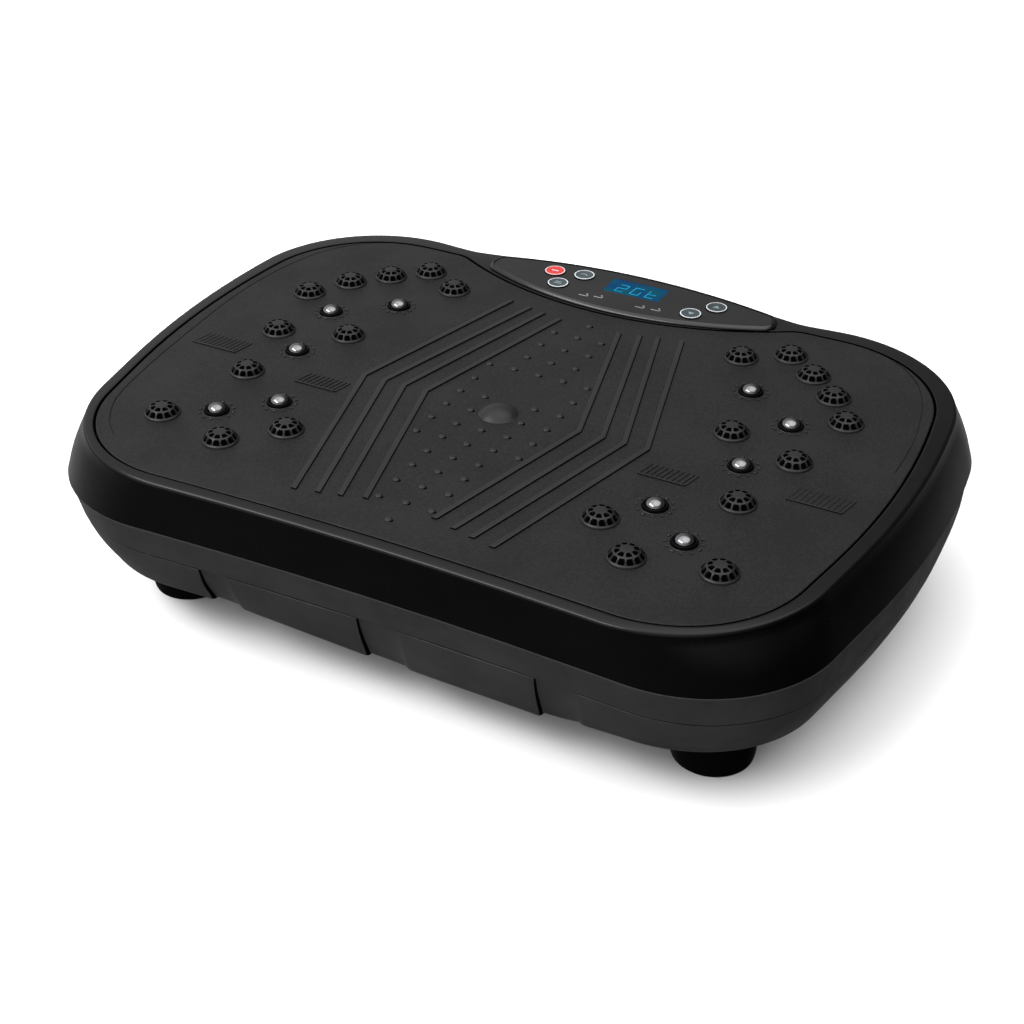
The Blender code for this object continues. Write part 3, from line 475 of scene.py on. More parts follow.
def cut(piece, bm, operation="DIFFERENCE"):
    """Apply a Boolean with a body, in millimetres, that is only used for this."""
    tool = linked("cutter", metre_mesh("cutter", bm))
    boolean = piece.modifiers.new(operation.lower(), "BOOLEAN")
    boolean.operation = operation
    boolean.solver = "EXACT"
    boolean.object = tool
    bpy.context.view_layer.update()
    graph = bpy.context.evaluated_depsgraph_get()
    result = bpy.data.meshes.new_from_object(piece.evaluated_get(graph))
    piece.modifiers.clear()
    piece.data = result
    bpy.data.objects.remove(tool)


def softened(piece, width):
    """Round a piece's sharp edges."""
    bevel = piece.modifiers.new("soft_edges", "BEVEL")
    bevel.width = width * MM
    bevel.segments = 2
    bevel.limit_method = "ANGLE"
    bevel.angle_limit = math.radians(SOFT_ANGLE)
    bevel.harden_normals = True


# ---- housing ----
RIM_ROUND = (2.6, 3.0)        # width and height of the rounded outer top edge
BAND_ROWS = 7                 # rows down the side band
BAND_CROWN = 0.10             # how far the side band bows out, as a share of its lean
BAND_END = 0.9                # the side band's lower end, above the belt
SATIN_TOP = 0.72              # where the gloss ends and the satin finish starts, above the belt
# Rings of the cover as pairs of a distance outwards and a rise: the lip from the mat, the ledge
# from the belt, and the lower edge from the seam.
COVER_LIP = [(1.05, -0.25), (1.45, 0.05), (2.0, 0.15), (2.8, 0.1)]
BELT_LEDGE = [(-0.15, 0.75), (0.1, 0.65), (0.3, 0.3), (0.15, -0.2), (-0.9, -1.6)]
SEAM_EDGE = [(0.3, 1.0), (0.1, 0.3), (-WALL, 0.2)]
# The island round the control panel, as a distance outside the panel's edge, and height.
ISLAND_PROFILE = [(3.2, 126.0), (3.2, 129.2), (3.15, 129.7), (2.95, 130.15), (2.55, 130.6),
                  (2.05, 131.1), (1.5, 131.55), (0.95, 131.8), (0.4, 131.8), (0.0, 131.5)]


def make_upper_cover():
    recess = grown(MAT, RECESS_GAP)
    rings = [level(recess, MAT_BOTTOM_Z - GAP),
             level(recess, MAT_TOP_Z - 0.8)]
    rings += rows(MAT, MAT_TOP_Z, COVER_LIP)
    for inward, up in reversed(quarter_turn(*RIM_ROUND, 7)):
        rings.append(level(grown(RIM, -inward), RIM_Z + up))
    for row in range(1, BAND_ROWS + 1):
        share = row / BAND_ROWS
        lean = share + BAND_CROWN * math.sin(math.pi * share)
        rings.append(level(between(RIM, BELT, lean), RIM_Z + (BELT_Z + BAND_END - RIM_Z) * share))
    rings += rows(BELT, BELT_Z, BELT_LEDGE) + rows(SEAM, SEAM_Z, SEAM_EDGE)
    rings += [level(grown(BELT, -WALL - 0.5), BELT_Z),
              level(grown(RIM, -WALL - 0.4), RIM_Z - 1.9),
              level(grown(MAT, WALL + 0.2), MAT_TOP_Z - 5.2),
              level(grown(MAT, WALL + 0.2), DECK_TOP_Z + GAP)]
    bm = bmesh.new()
    sides = loft(bm, rings)
    for face in bm.faces:
        if face.calc_center_median().z < BELT_Z + SATIN_TOP:
            face.material_index = 1
    # The groove walls below the lip, and the lip's inner edge, get painted shade: a dark line round
    # the mat.
    paint(sides[:3 * len(MAT)], 2)
    cover = make_piece("upper_shell", bm, "platform",
                       ["gloss", "satin", "painted_shade", "edge"])
    island = bmesh.new()
    loft(island, [level(grown(PANEL, outside), z) for outside, z in ISLAND_PROFILE])
    cut(cover, island, "UNION")
    for outwards, low in ((GAP, PANEL_Z[0] - GAP), (-PANEL_LEDGE, DECK_TOP_Z - 4.0)):
        pocket = bmesh.new()
        prism(pocket, grown(PANEL, outwards), low, MAT_TOP_Z + 10.0)
        cut(cover, pocket)
    for face in cover.data.polygons:
        if face.center.z > (MAT_TOP_Z + 0.5) * MM:
            face.material_index = 3
    shaded(cover.data)
    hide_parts("upper_cover")


def stepped_front(points, drop):
    """The outline with its front run set back in steps; drop is 0 at the seam and 1 at the pan."""
    front = OUTLINE_STEPS[0] + 1
    run = [points[-1]] + points[:front + 1]
    depth = STEP_DEPTH[0] + (STEP_DEPTH[1] - STEP_DEPTH[0]) * drop
    stations = []
    for (at_seam, at_pan), length in zip(STEP_STARTS, STEP_RUN):
        start = at_seam + (at_pan - at_seam) * drop
        stations += [(start + run_share * length + offset, inset * depth)
                     for run_share, offset, inset in STEP_SHAPE]
    result = []
    for x, inset in stations:
        for (x0, y0), (x1, y1) in zip(run, run[1:]):
            if x0 <= x <= x1:
                result.append((x, y0 + (y1 - y0) * (x - x0) / (x1 - x0) + inset))
                break
    return result + points[front:]


def hung(points, z, share):
    """The outline at a level, with its front middle hanging lower as a skirt."""
    result = []
    for x, y in points:
        rise = min(max((x - SKIRT_LEFT[0]) / (SKIRT_LEFT[1] - SKIRT_LEFT[0]), 0.0), 1.0)
        fall = min(max((SKIRT_RIGHT[1] - x) / (SKIRT_RIGHT[1] - SKIRT_RIGHT[0]), 0.0), 1.0)
        reach = rise * rise * (3.0 - 2.0 * rise) * fall * fall * (3.0 - 2.0 * fall)
        result.append((x, y, z - SKIRT_DROP * share * reach * (y < 0.0)))
    return result


# Rings of the rounded bottom edge: distance outwards, depth of the steps, rise, and how far the
# skirt hangs, as a share.
PAN_EDGE = [(-6.5, 1.0, 0.0, 1.0), (-5.0, 1.0, 0.1, 1.0), (-3.0, 1.0, 0.7, 1.0),
            (-1.3, 0.97, 1.9, 1.0), (-0.3, 0.93, 3.6, 0.9)]
PAN_FLAT = 10.0               # how far inside the wall the flat underside starts
WALL_ROWS = 5
WALL_FOOT = 5.5               # the wall's lower end above the underside, and
WALL_HEAD = 1.1               # its upper end below the seam
WALL_BOW = 1.2
STEP_FACE_LEAN = 0.75         # x part of the normal above which a face is a step's end, which gets painted shade


def make_lower_cover():
    rings = [level(stepped_front(grown(PAN, -PAN_FLAT), 1.0), FLOOR_PAN_Z)]
    for outwards, drop, up, share in PAN_EDGE:
        rings.append(hung(stepped_front(grown(PAN, outwards), drop), FLOOR_PAN_Z + up, share))
    foot = FLOOR_PAN_Z + WALL_FOOT
    for row in range(WALL_ROWS + 1):
        share = row / WALL_ROWS
        bow = WALL_BOW * math.sin(math.pi * share)
        outline = grown(between(PAN, SEAM, 0.05 + 0.95 * share), bow - 0.4 * share)
        height = foot + (SEAM_Z - WALL_HEAD - foot) * share
        rings.append(hung(stepped_front(outline, 0.9 * (1.0 - share)), height,
                          0.8 * (1.0 - share) ** 2))
    rings += [level(stepped_front(grown(SEAM, -0.7), 0.0), SEAM_Z - 0.8),
              level(stepped_front(grown(SEAM, -1.4), 0.0), SEAM_Z - 0.3),
              level(stepped_front(grown(SEAM, -WALL), 0.0), SEAM_Z - 0.2),
              level(stepped_front(grown(PAN, -WALL), 0.9), FLOOR_PAN_Z + 6.0),
              level(stepped_front(grown(PAN, -WALL - 4.0), 1.0), FLOOR_PAN_Z + WALL)]
    bm = bmesh.new()
    loft(bm, rings)
    # The shoulder just under the seam and the ends of the front steps get painted shade, for dark
    # lines.
    for face in bm.faces:
        face.normal_update()
        step_end_shade = face.normal.x > STEP_FACE_LEAN and face.calc_center_median().y < -150.0
        if face.calc_center_median().z > SEAM_Z - 0.9 or step_end_shade:
            face.material_index = 1
    cover = make_piece("lower_shell", bm, "platform", ["satin", "painted_shade"])
    holes = bmesh.new()
    for x in (-FOOT_X, FOOT_X):
        for y in (-FOOT_Y, FOOT_Y):
            prism(holes, circle((x, y), FOOT_OPENING, 48), FLOOR_PAN_Z - 5.0, FLOOR_PAN_Z + 8.0)
    prism(holes, rectangle(*INLET_OPENING), INLET_Z[0] - GAP, INLET_Z[1] + GAP)
    cut(cover, holes)
    shaded(cover.data)
    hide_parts("lower_cover")


# ---- tread mat ----
# The relief line inside the mat's side edges, from the rear to the front of the right side.
RELIEF_LINE = [(176.0, 152.6), (193.0, 143.5), (206.0, 131.6), (216.5, 116.0), (224.0, 95.0),
               (229.0, 70.0), (231.5, 45.0), (231.5, 15.0), (229.5, -15.0), (227.0, -45.0),
               (222.5, -85.0), (216.0, -118.0), (203.5, -141.0), (189.0, -155.5)]
RELIEF_WIDTH = 0.7
RELIEF_DEPTH = 0.6
RIGHT_RELIEF = 8              # points of the line that the right side has


def strip(bm, points, width, low, high, taper=True):
    """A closed strip of a width along a line of points in plan."""
    left, right = [], []
    for index, point in enumerate(points):
        before = Vector(points[max(index - 1, 0)])
        after = Vector(points[min(index + 1, len(points) - 1)])
        along = (after - before).normalized()
        half = width / 2
        if taper and index in (0, len(points) - 1):
            half = 0.15 * half
        left.append((point[0] - along.y * half, point[1] + along.x * half))
        right.append((point[0] + along.y * half, point[1] - along.x * half))
    prism(bm, left + list(reversed(right)), low, high)


def curve_through(points, steps):
    """A smooth line through points in plan, by Catmull-Rom."""
    padded = [points[0]] + points + [points[-1]]
    result = []
    for index in range(1, len(padded) - 2):
        a, b, c, d = (Vector(point) for point in padded[index - 1:index + 3])
        for step in range(steps):
            t = step / steps
            place = 0.5 * (2 * b + (c - a) * t + (2 * a - 5 * b + 4 * c - d) * t * t
                           + (3 * b - a - 3 * c + d) * t * t * t)
            result.append(tuple(place))
    return result + [points[-1]]


def make_mat():
    bm = bmesh.new()
    sides = loft(bm, slab(MAT, MAT_BOTTOM_Z, MAT_TOP_Z, 0.8, 1.4))
    # The mat's side wall and the foot of its rounded edge, down in the groove, get painted shade.
    paint(sides[:2 * len(MAT)], 1)
    tread = make_piece("tread_sheet", bm, "platform", ["tread", "painted_shade"])
    pockets = bmesh.new()
    for x, y in both_sides(MAGNET_PLACES):
        pocket = circle((x, y), MAGNET_RADIUS + HOLE_GAP, 32)
        prism(pockets, pocket, MAT_TOP_Z - CUT_REACH, MAT_TOP_Z + CUT_REACH)
    cut(tread, pockets)
    lines = bmesh.new()
    for side, line in ((-1, RELIEF_LINE), (1, RELIEF_LINE[:RIGHT_RELIEF])):
        route = [(side * x, y) for x, y in curve_through(line, 6)]
        strip(lines, route, RELIEF_WIDTH, MAT_TOP_Z - RELIEF_DEPTH, MAT_TOP_Z + 2.0)
    cut(tread, lines)
    shaded(tread.data)
    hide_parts("tread_mat")


def both_sides(places):
    """Places on both halves of the tread, from places measured from the pattern's centre."""
    return [(side * x, y + CENTRE_Y) for side in (-1, 1) for x, y in places]


# ---- ribs and bumps ----
RIB_ROUND = 0.45
BUMP_RADIUS = 2.3
BUMP_HEIGHT = 1.0
SHADE_DISC_RADIUS = 1.35          # radius of a flat black disc of painted shade beside each bump
SHADE_DISC_PLACE = (1.9, -0.5)
CENTRE_DOME = [(12.2, -0.4), (12.2, 0.05), (11.6, 0.5), (10.6, 1.4), (9.2, 2.5), (7.2, 3.5),
               (4.8, 4.2), (2.2, 4.6), (0.6, 4.65)]
BUMP_ROWS = {0.0: (-129, -110, -92, -74, -57, -40, -22, 53, 71, 90, 109, 127),
             17.0: (-111, -92, -74, -57, -39, -22, -4, 14, 53, 71, 90, 109),
             34.0: (-40, -22, -4, 14, 32, 52)}


def make_ribs():
    """Four raised chevron strips on each side, with rounded top edges and painted shade on their
    lower side walls.
    """
    for side, word in ((-1, "left"), (1, "right")):
        bm = bmesh.new()
        for (x0, y0), (x1, y1), (x2, y2) in RIB_ROUTES:
            rings = []
            for inset, z in [(-0.25, -0.4), (-0.25, 0.02), (0.0, 0.04),
                             (0.0, RIB_HEIGHT - RIB_ROUND), (0.15, RIB_HEIGHT - 0.12),
                             (RIB_ROUND, RIB_HEIGHT), (RIB_ROUND + 0.3, RIB_HEIGHT)]:
                half = RIB_WIDTH / 2 - inset
                plan = [(x0 - half, y0 + inset), (x0 + half, y0 + inset), (x1 + half, y1),
                        (x2 + half, y2 - inset), (x2 - half, y2 - inset), (x1 - half, y1)]
                rings.append([(side * x, y + CENTRE_Y, MAT_TOP_Z + z) for x, y in plan])
            # The lower side walls get painted shade.
            paint(loft(bm, rings)[:3 * len(plan)], 1)
        make_piece(f"tread_ribs_{word}", bm, "platform", ["dome", "painted_shade"])


def make_bumps():
    """The grid of small bumps, each with a disc of painted shade beside it, and the smooth dome in
    its middle.
    """
    bm = bmesh.new()
    profile = [(BUMP_RADIUS, -0.3)]
    for step in range(5):
        angle = math.radians(20.0 * step)
        profile.append((BUMP_RADIUS * math.cos(angle), BUMP_HEIGHT * math.sin(angle)))
    for x, row in BUMP_ROWS.items():
        for side in ((-1, 1) if x else (1,)):
            for y in row:
                place = (side * x, y + CENTRE_Y)
                turned(bm, (*place, MAT_TOP_Z), profile, 16)
                # a flat black disc of painted shade beside the bump
                shade_disc = circle((place[0] + SHADE_DISC_PLACE[0], place[1] + SHADE_DISC_PLACE[1]),
                                SHADE_DISC_RADIUS, 14)
                prism(bm, shade_disc, MAT_TOP_Z - SINK, MAT_TOP_Z + 0.04, 1)
    make_piece("tread_bumps", bm, "platform", ["dome", "painted_shade"])
    bm = bmesh.new()
    turned(bm, (0.0, CENTRE_Y, MAT_TOP_Z), CENTRE_DOME, 56)
    make_piece("tread_centre_dome", bm, "platform", ["dome"])


# ---- massage domes ----
DOME_RADIUS = 11.0
# Radius and height of the dome's surface, from its foot to its top.
DOME_PROFILE = [(11.0, 0.0), (10.9, 0.8), (10.6, 1.15), (10.1, 1.4), (8.8, 3.5), (7.3, 4.75),
                (5.8, 5.4), (4.0, 5.8), (2.2, 5.98), (0.0, 6.0)]
OUTER_PITS = 12
COLUMNS = 16 * OUTER_PITS
# Radii of the rows, which are close together at the walls of the pits.
DOME_ROWS = [11.0, 10.9, 10.6, 10.1, 9.95, 9.8, 9.4, 8.8, 8.2, 7.85, 7.7, 7.2, 6.75, 6.6,
             6.0, 5.4, 4.8, 4.2, 4.05, 3.9, 3.4, 2.8, 1.8, 0.8]
PIT_DEPTH = 1.9
DOME_SHARP_ANGLE = 38.0
# Count, inner and outer radius, share of the ring that is open, and turn of each ring of pits.
PIT_RINGS = ((OUTER_PITS, 7.8, 9.88, 0.76, 0.0), (8, 4.0, 6.65, 0.72, 0.5))


def dome_height(radius):
    for (r0, z0), (r1, z1) in zip(DOME_PROFILE, DOME_PROFILE[1:]):
        if r1 <= radius <= r0:
            return z0 + (z1 - z0) * (r0 - radius) / (r0 - r1)
    return 0.0


def in_pit(radius, angle):
    """Whether a place on the dome lies in one of its two rings of pits."""
    for count, low, high, share, phase in PIT_RINGS:
        turn = (angle / (2 * math.pi) * count + phase) % 1.0 - 0.5
        middle = 0.5 * (low + high)
        round_off = 1.0 - 0.3 * (abs(radius - middle) / (0.5 * (high - low))) ** 3
        if low <= radius <= high and abs(turn) < 0.5 * share * round_off:
            return True
    return False


def dome_mesh():
    """One dome about the origin, with two rings of sunk pits."""
    bm = bmesh.new()
    rows = []
    for radius in DOME_ROWS:
        ring = []
        for column in range(COLUMNS):
            angle = 2 * math.pi * column / COLUMNS
            z = dome_height(radius)
            if in_pit(radius, angle):
                z -= PIT_DEPTH
            ring.append(bm.verts.new((radius * math.cos(angle), radius * math.sin(angle), z)))
        rows.append(ring)
    foot = circle((0.0, 0.0), DOME_RADIUS, COLUMNS)
    rows.insert(0, [bm.verts.new((x, y, -0.4)) for x, y in foot])
    for low, high in zip(rows, rows[1:]):
        for column in range(COLUMNS):
            after = (column + 1) % COLUMNS
            face = bm.faces.new((low[column], low[after], high[after], high[column]))
            middle = face.calc_center_median()
            radius = math.hypot(middle.x, middle.y)
            sunk = dome_height(radius) - middle.z
            # Faces sunk into the pits get painted shade.
            if sunk > 0.3 * PIT_DEPTH and middle.z > 0.2:
                face.material_index = 1
    bm.faces.new(rows[-1])
    bm.faces.new(list(reversed(rows[0])))
    mesh = metre_mesh("massage_dome", bm)
    mesh.materials.append(FINISHES["dome"])
    mesh.materials.append(FINISHES["painted_shade"])
    shaded(mesh, DOME_SHARP_ANGLE)
    return mesh


def make_domes():
    mesh = dome_mesh()
    turn = random.Random(7)
    for number, (x, y) in enumerate(both_sides(DOME_PLACES), 1):
        dome = linked(f"massage_dome_{number:02d}", mesh)
        dome.location = Vector((x, y, MAT_TOP_Z)) * MM
        dome.rotation_euler.z = turn.uniform(0.0, 2 * math.pi)
        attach(dome, "platform")


# ---- magnet studs ----
STUD_PROFILE = [(5.6, -4.7), (5.6, 0.0), (5.8, 0.7), (5.75, 1.4), (5.45, 2.3), (4.9, 3.1),
                (4.1, 3.85), (3.0, 4.45), (1.7, 4.85), (0.4, 5.0)]
COLLAR_PROFILE = [(6.0, -0.6), (7.7, -0.3), (7.65, 0.6), (7.45, 1.3), (7.1, 1.7), (6.6, 1.8),
                  (6.15, 1.6), (6.0, 0.6)]
LIP_PROFILE = [(7.8, -0.3), (8.6, -0.3), (8.55, 0.1), (8.35, 0.3), (8.05, 0.3), (7.85, 0.1)]
STUD_SEGMENTS = 40
DASH_RING = 10.4              # middle of the small marks round each stud
DASHES = 12


def make_studs():
    for number, (x, y) in enumerate(both_sides(MAGNET_PLACES), 1):
        bm = bmesh.new()
        turned(bm, (x, y, MAT_TOP_Z), STUD_PROFILE, STUD_SEGMENTS)
        stud = make_piece(f"polished_stud_{number:02d}", bm, "platform",
                          ["chrome"])
        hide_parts(f"magnet_stud_{number:02d}")
    shaded_seats = bmesh.new()
    dashes = bmesh.new()
    for x, y in both_sides(MAGNET_PLACES):
        # The collar round each stud is partly real and partly painted shade; the thin lip outside it
        # has the dome's finish.
        for material, profile in enumerate((COLLAR_PROFILE, LIP_PROFILE)):
            rings = [level(circle((x, y), radius, STUD_SEGMENTS), MAT_TOP_Z + z)
                     for radius, z in profile]
            loft(shaded_seats, rings + [rings[0]], material, closed=False)
        for step in range(DASHES):
            angle = 2 * math.pi * (step + 0.5) / DASHES
            out = Vector((math.cos(angle), math.sin(angle)))
            side = Vector((-out.y, out.x))
            middle = Vector((x, y)) + out * DASH_RING
            plan = [tuple(middle + out * a + side * b)
                    for a, b in ((-0.8, -0.85), (0.8, -1.05), (0.8, 1.05), (-0.8, 0.85))]
            body = loft(dashes, [level(plan, MAT_TOP_Z - SINK), level(plan, MAT_TOP_Z + 0.35),
                                 level([tuple(Vector(p).lerp(middle, 0.35)) for p in plan],
                                       MAT_TOP_Z + 0.6)])
            # The dashes' side walls get painted shade.
            paint(body[:len(plan)], 1)
    bmesh.ops.remove_doubles(shaded_seats, verts=shaded_seats.verts, dist=0.0001)
    make_piece("stud_seats_shaded", shaded_seats, "platform", ["shaded_collar", "dome"])
    make_piece("stud_marks", dashes, "platform", ["dome", "painted_shade"])


# ---- grip patches ----
# Left and right ends, front and rear of each framed hatch on one side of the tread.
PATCHES = {"left": [((-130.5, -101.5), (-23.0, -10.0)), ((-218.0, -185.5), (-9.5, 5.5))],
           "right": [((101.5, 130.5), (-23.0, -10.0)), ((185.5, 218.0), (-9.5, 5.5))]}
HATCH_PITCH = 3.0
PATCH_LEAN = 3.0              # how far the hatch runs to the right towards the rear


def make_patches():
    """Framed slanted hatching, moulded in low relief."""
    low, high = MAT_TOP_Z - SINK, MAT_TOP_Z + 0.55
    for word, places in PATCHES.items():
        bm = bmesh.new()
        for (x0, x1), (y0, y1) in places:
            corners = [(x, y + CENTRE_Y) for x, y in ((x0, y0), (x1, y0), (x1 + PATCH_LEAN, y1))]
            strip(bm, corners[:2], 1.1, low, high, taper=False)
            strip(bm, corners[1:], 1.0, low, high, taper=False)
            # Faces lower than the frame's top get painted shade: the frame's side walls, and all
            # hatch made before them.
            for face in bm.faces:
                if face.calc_center_median().z < high - 0.06:
                    face.material_index = 1
            count = int((x1 - x0) / HATCH_PITCH)
            for step in range(count):
                x = x0 + 1.0 + (x1 - x0 - 3.0) * step / (count - 1)
                strip(bm, [(x, y0 + 1.2 + CENTRE_Y), (x + PATCH_LEAN, y1 + CENTRE_Y)],
                      0.9, low, high - 0.22, taper=True)
        make_piece(f"grip_patches_{word}", bm, "platform", ["dome", "painted_shade"])


# ---- control panel ----
RING_WIDTH = 0.75
KEY_SEGMENTS = 48
KEY_STAND = 0.8               # how far a key stands above the panel
KEY_STEM = 2.4                # radius of the stem below a key
KEY_Z = (123.0, 127.7)        # foot and head of the stem
# A key's dished top, as pairs of a distance inwards from its edge and a rise.
KEY_TOP = [(0.0, -0.5), (0.1, -0.2), (0.4, 0.0), (0.9, 0.05), (1.6, -0.1), (3.5, -0.2)]
PRINT_HEIGHT = 0.08
DIGIT_SIZE = (6.0, 10.0)
DIGIT_LEAN = 0.12
DIGIT_START = (-13.0, -7.0)   # foot of the first digit, from the display's middle
DIGIT_PITCH = 11.0
SEGMENTS = {"a": ((0, 1), (1, 1)), "b": ((1, 1), (1, 0.5)), "c": ((1, 0.5), (1, 0)),
            "d": ((0, 0), (1, 0)), "e": ((0, 0.5), (0, 0)), "f": ((0, 1), (0, 0.5)),
            "g": ((0, 0.5), (1, 0.5))}
DIGITS = ["abged", "afedc", "fedg"]
PRINT_SINK = 0.2              # how deep a print starts below the panel's face
MARK_LINES = [([(-3.0, -0.6), (3.0, -0.6)], 0.7), ([(2.0, -0.6), (3.4, 0.8)], 0.5)]
# Points and width of the strokes of each key's mark; the speed keys have an arrowhead.
ICONS = {"power": [([(-2.6, 0.0), (2.6, 0.0)], 1.1)],
         "mode": [([(-2.6, -0.4), (-0.4, 1.2), (2.6, -0.6)], 0.9)],
         "time": [([(-2.8, -0.9), (2.8, -0.9)], 1.0), ([(-2.4, 1.3), (2.4, 1.3)], 1.0)]}
ARROWHEAD = [(-2.4, -1.4), (2.4, -1.4), (0.0, 2.2)]
MARK_PLACES = [(-21.2, 134.1), (-11.2, 136.1), (19.8, 135.1), (30.8, 136.1)]


def make_panel():
    bm = bmesh.new()
    loft(bm, slab(PANEL, *PANEL_Z, 0.4, 0.8))
    panel = make_piece("panel_face", bm, "platform", ["panel"])
    holes = bmesh.new()
    low, high = PANEL_Z[0] - CUT_REACH, PANEL_Z[1] + CUT_REACH
    for place in BUTTON_PLACES.values():
        prism(holes, circle(place, BUTTON_RADIUS + HOLE_GAP, KEY_SEGMENTS), low, high)
    window = rounded_box(DISPLAY_CENTRE, (DISPLAY_SIZE[0] / 2, DISPLAY_SIZE[1] / 2), 0.8)
    prism(holes, window, low, high)
    cut(panel, holes)
    shaded(panel.data)
    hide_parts("control_panel")


def make_display():
    half = (DISPLAY_SIZE[0] / 2 - 0.1, DISPLAY_SIZE[1] / 2 - 0.1)
    bm = bmesh.new()
    prism(bm, rounded_box(DISPLAY_CENTRE, half, 0.7), PANEL_Z[0], PANEL_Z[1] - 0.05)
    window = make_piece("display_window", bm, "platform", ["display"])
    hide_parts("display_lens")
    bm = bmesh.new()
    width, height = DIGIT_SIZE
    for index, lit in enumerate(DIGITS):
        left = DISPLAY_CENTRE[0] + DIGIT_START[0] + index * DIGIT_PITCH
        low = DISPLAY_CENTRE[1] + DIGIT_START[1]
        for name in lit:
            ends = []
            for across, up in SEGMENTS[name]:
                ends.append((left + across * width + DIGIT_LEAN * up * height,
                             low + up * height))
            strip(bm, ends, 0.6, PANEL_Z[1] - PRINT_SINK, PANEL_Z[1] + PRINT_HEIGHT, taper=False)
    make_piece("display_digits", bm, "platform", ["digit"])


def strokes(bm, place, lines, low, high):
    """Straight-edged strokes, given as their points round a place and their width."""
    for points, width in lines:
        strip(bm, [(place[0] + dx, place[1] + dy) for dx, dy in points], width, low, high,
              taper=False)


def make_marks():
    """Small printed marks beside the display: a bar with a dot above it."""
    bm = bmesh.new()
    low, high = PANEL_Z[1] - PRINT_SINK, PANEL_Z[1] + PRINT_HEIGHT
    for x, y in MARK_PLACES:
        strokes(bm, (x, y), MARK_LINES, low, high)
        prism(bm, circle((x + 1.8, y + 2.2), 0.7, 12), low, high)
    make_piece("panel_marks", bm, "platform", ["faint"])


def make_keys():
    key_top = PANEL_Z[1] + KEY_STAND
    for name, (x, y) in BUTTON_PLACES.items():
        body = f"{name}_key"
        colour = "red" if name == "power" else "grey"
        radius = BUTTON_RADIUS
        bm = bmesh.new()
        profile = [(KEY_STEM, KEY_Z[0]), (KEY_STEM, KEY_Z[1]), (radius, KEY_Z[1])]
        profile += [(radius - inward, key_top + up) for inward, up in KEY_TOP]
        profile.append((0.4, key_top - 0.22))
        walls = turned(bm, (x, y, 0.0), profile, KEY_SEGMENTS)
        # The stem, the key's underside and its side wall get painted shade.
        paint(walls[:4 * KEY_SEGMENTS], 1)
        key = make_piece(f"{name}_key_cap", bm, body, [colour, "painted_shade"])
        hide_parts(f"{name}_button")
        ring = bmesh.new()
        outer, inner = radius - 0.25, radius - 0.25 - RING_WIDTH
        rings = [level(circle((x, y), r, KEY_SEGMENTS), key_top + z)
                 for r, z in ((outer, -0.3), (outer, 0.03), (outer - 0.2, 0.14),
                              (inner + 0.15, 0.14), (inner, 0.02), (inner, -0.3))]
        loft(ring, rings + [rings[0]], closed=False)
        bmesh.ops.remove_doubles(ring, verts=ring.verts, dist=0.0001)
        make_piece(f"{name}_key_ring", ring, body, ["white"])
        make_icon(name, body, (x, y), key_top)


def make_icon(name, body, place, top):
    """A plain mark on the key's dished face."""
    low, high = top - 0.5, top + 0.02
    bm = bmesh.new()
    if name in ICONS:
        strokes(bm, place, ICONS[name], low, high)
    else:
        lift = 1.0 if name == "speed_up" else -1.0
        prism(bm, [(place[0] + dx, place[1] + dy * lift) for dx, dy in ARROWHEAD], low, high)
    make_piece(f"{name}_key_mark", bm, body, ["white" if name == "power" else "icon"])


# ---- feet ----
CUP_PROFILE = [(6.0, 7.0), (11.0, 6.2), (14.5, 4.4), (17.3, 1.6), (19.0, 0.05), (21.2, 0.0),
               (23.1, 0.05), (23.9, 0.6), (24.2, 1.6), (24.6, 4.0), (25.0, 9.0), (25.0, 14.0),
               (24.8, 19.0), (24.3, 22.5), (23.0, 25.0), (20.6, 27.4), (17.8, 29.2),
               (15.0, CUP_HEIGHT)]


def make_feet():
    for corner_y, row in ((-1, "front"), (1, "rear")):
        for corner_x, side in ((-1, "left"), (1, "right")):
            centre = (corner_x * FOOT_X, corner_y * FOOT_Y, 0.0)
            bm = bmesh.new()
            turned(bm, centre, CUP_PROFILE, 56)
            cup = make_piece(f"foot_cup_{row}_{side}", bm, "chassis", ["rubber"])
            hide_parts(f"suction_cup_{row}_{side}")


# ---- CAD nodes that stay ----
ENDS = ("front", "rear")
CORNERS = ("front_left", "front_right", "rear_left", "rear_right")


def each(stem, endings):
    return [f"{stem}_{ending}" for ending in endings]


# Each finish, and the CAD nodes that get it.
KEPT = {"painted": ["base_plate", "deck_plate", *each("pivot_bracket", ENDS),
                    *each("pivot_hanger", ENDS), "motor_bracket", *each("rod_hanger", ENDS)],
        "cast": [*each("bearing_block", ENDS), "crank_pulley", "motor_pulley"],
        "machined": ["crank_shaft", "motor_shaft"],
        "motor": ["motor", *each("connecting_rod", ENDS)],
        "rubber": ["drive_belt", *each("rubber_buffer", CORNERS)],
        "board": ["control_board", "motor_driver_board"],
        "satin": [*each("foot_post", CORNERS), "display_module", "inlet_panel"],
        "inlet": ["power_inlet", "fuse_cap"],
        "switch": ["power_switch"]}
EDGE = 0.5                    # width of the rounded edges, and that of the thin nodes
THIN_EDGE = 0.2
THIN = {"control_board", "motor_driver_board", "drive_belt", "display_module"}


def dress_kept_nodes(nodes):
    """Give each CAD node that stays its finish and rounded edges."""
    for finish, names in KEPT.items():
        for name in names:
            node = nodes[name]
            node.data.materials.clear()
            node.data.materials.append(FINISHES[finish])
            weld = node.modifiers.new("weld", "WELD")
            weld.merge_threshold = 0.01 * MM
            softened(node, THIN_EDGE if name in THIN else EDGE)


# ---- inlet group details ----
INLET_SCREWS = (-47.0, 48.5)
INLET_SCREW_RADIUS = 2.8
SOCKET_RIM = 1.8              # how far the socket stands out of the inlet panel
PIN_LENGTH = 11.2
PINS = (("left", -6.5, -1.8), ("right", 6.5, -1.8), ("earth", 0.0, 2.4))


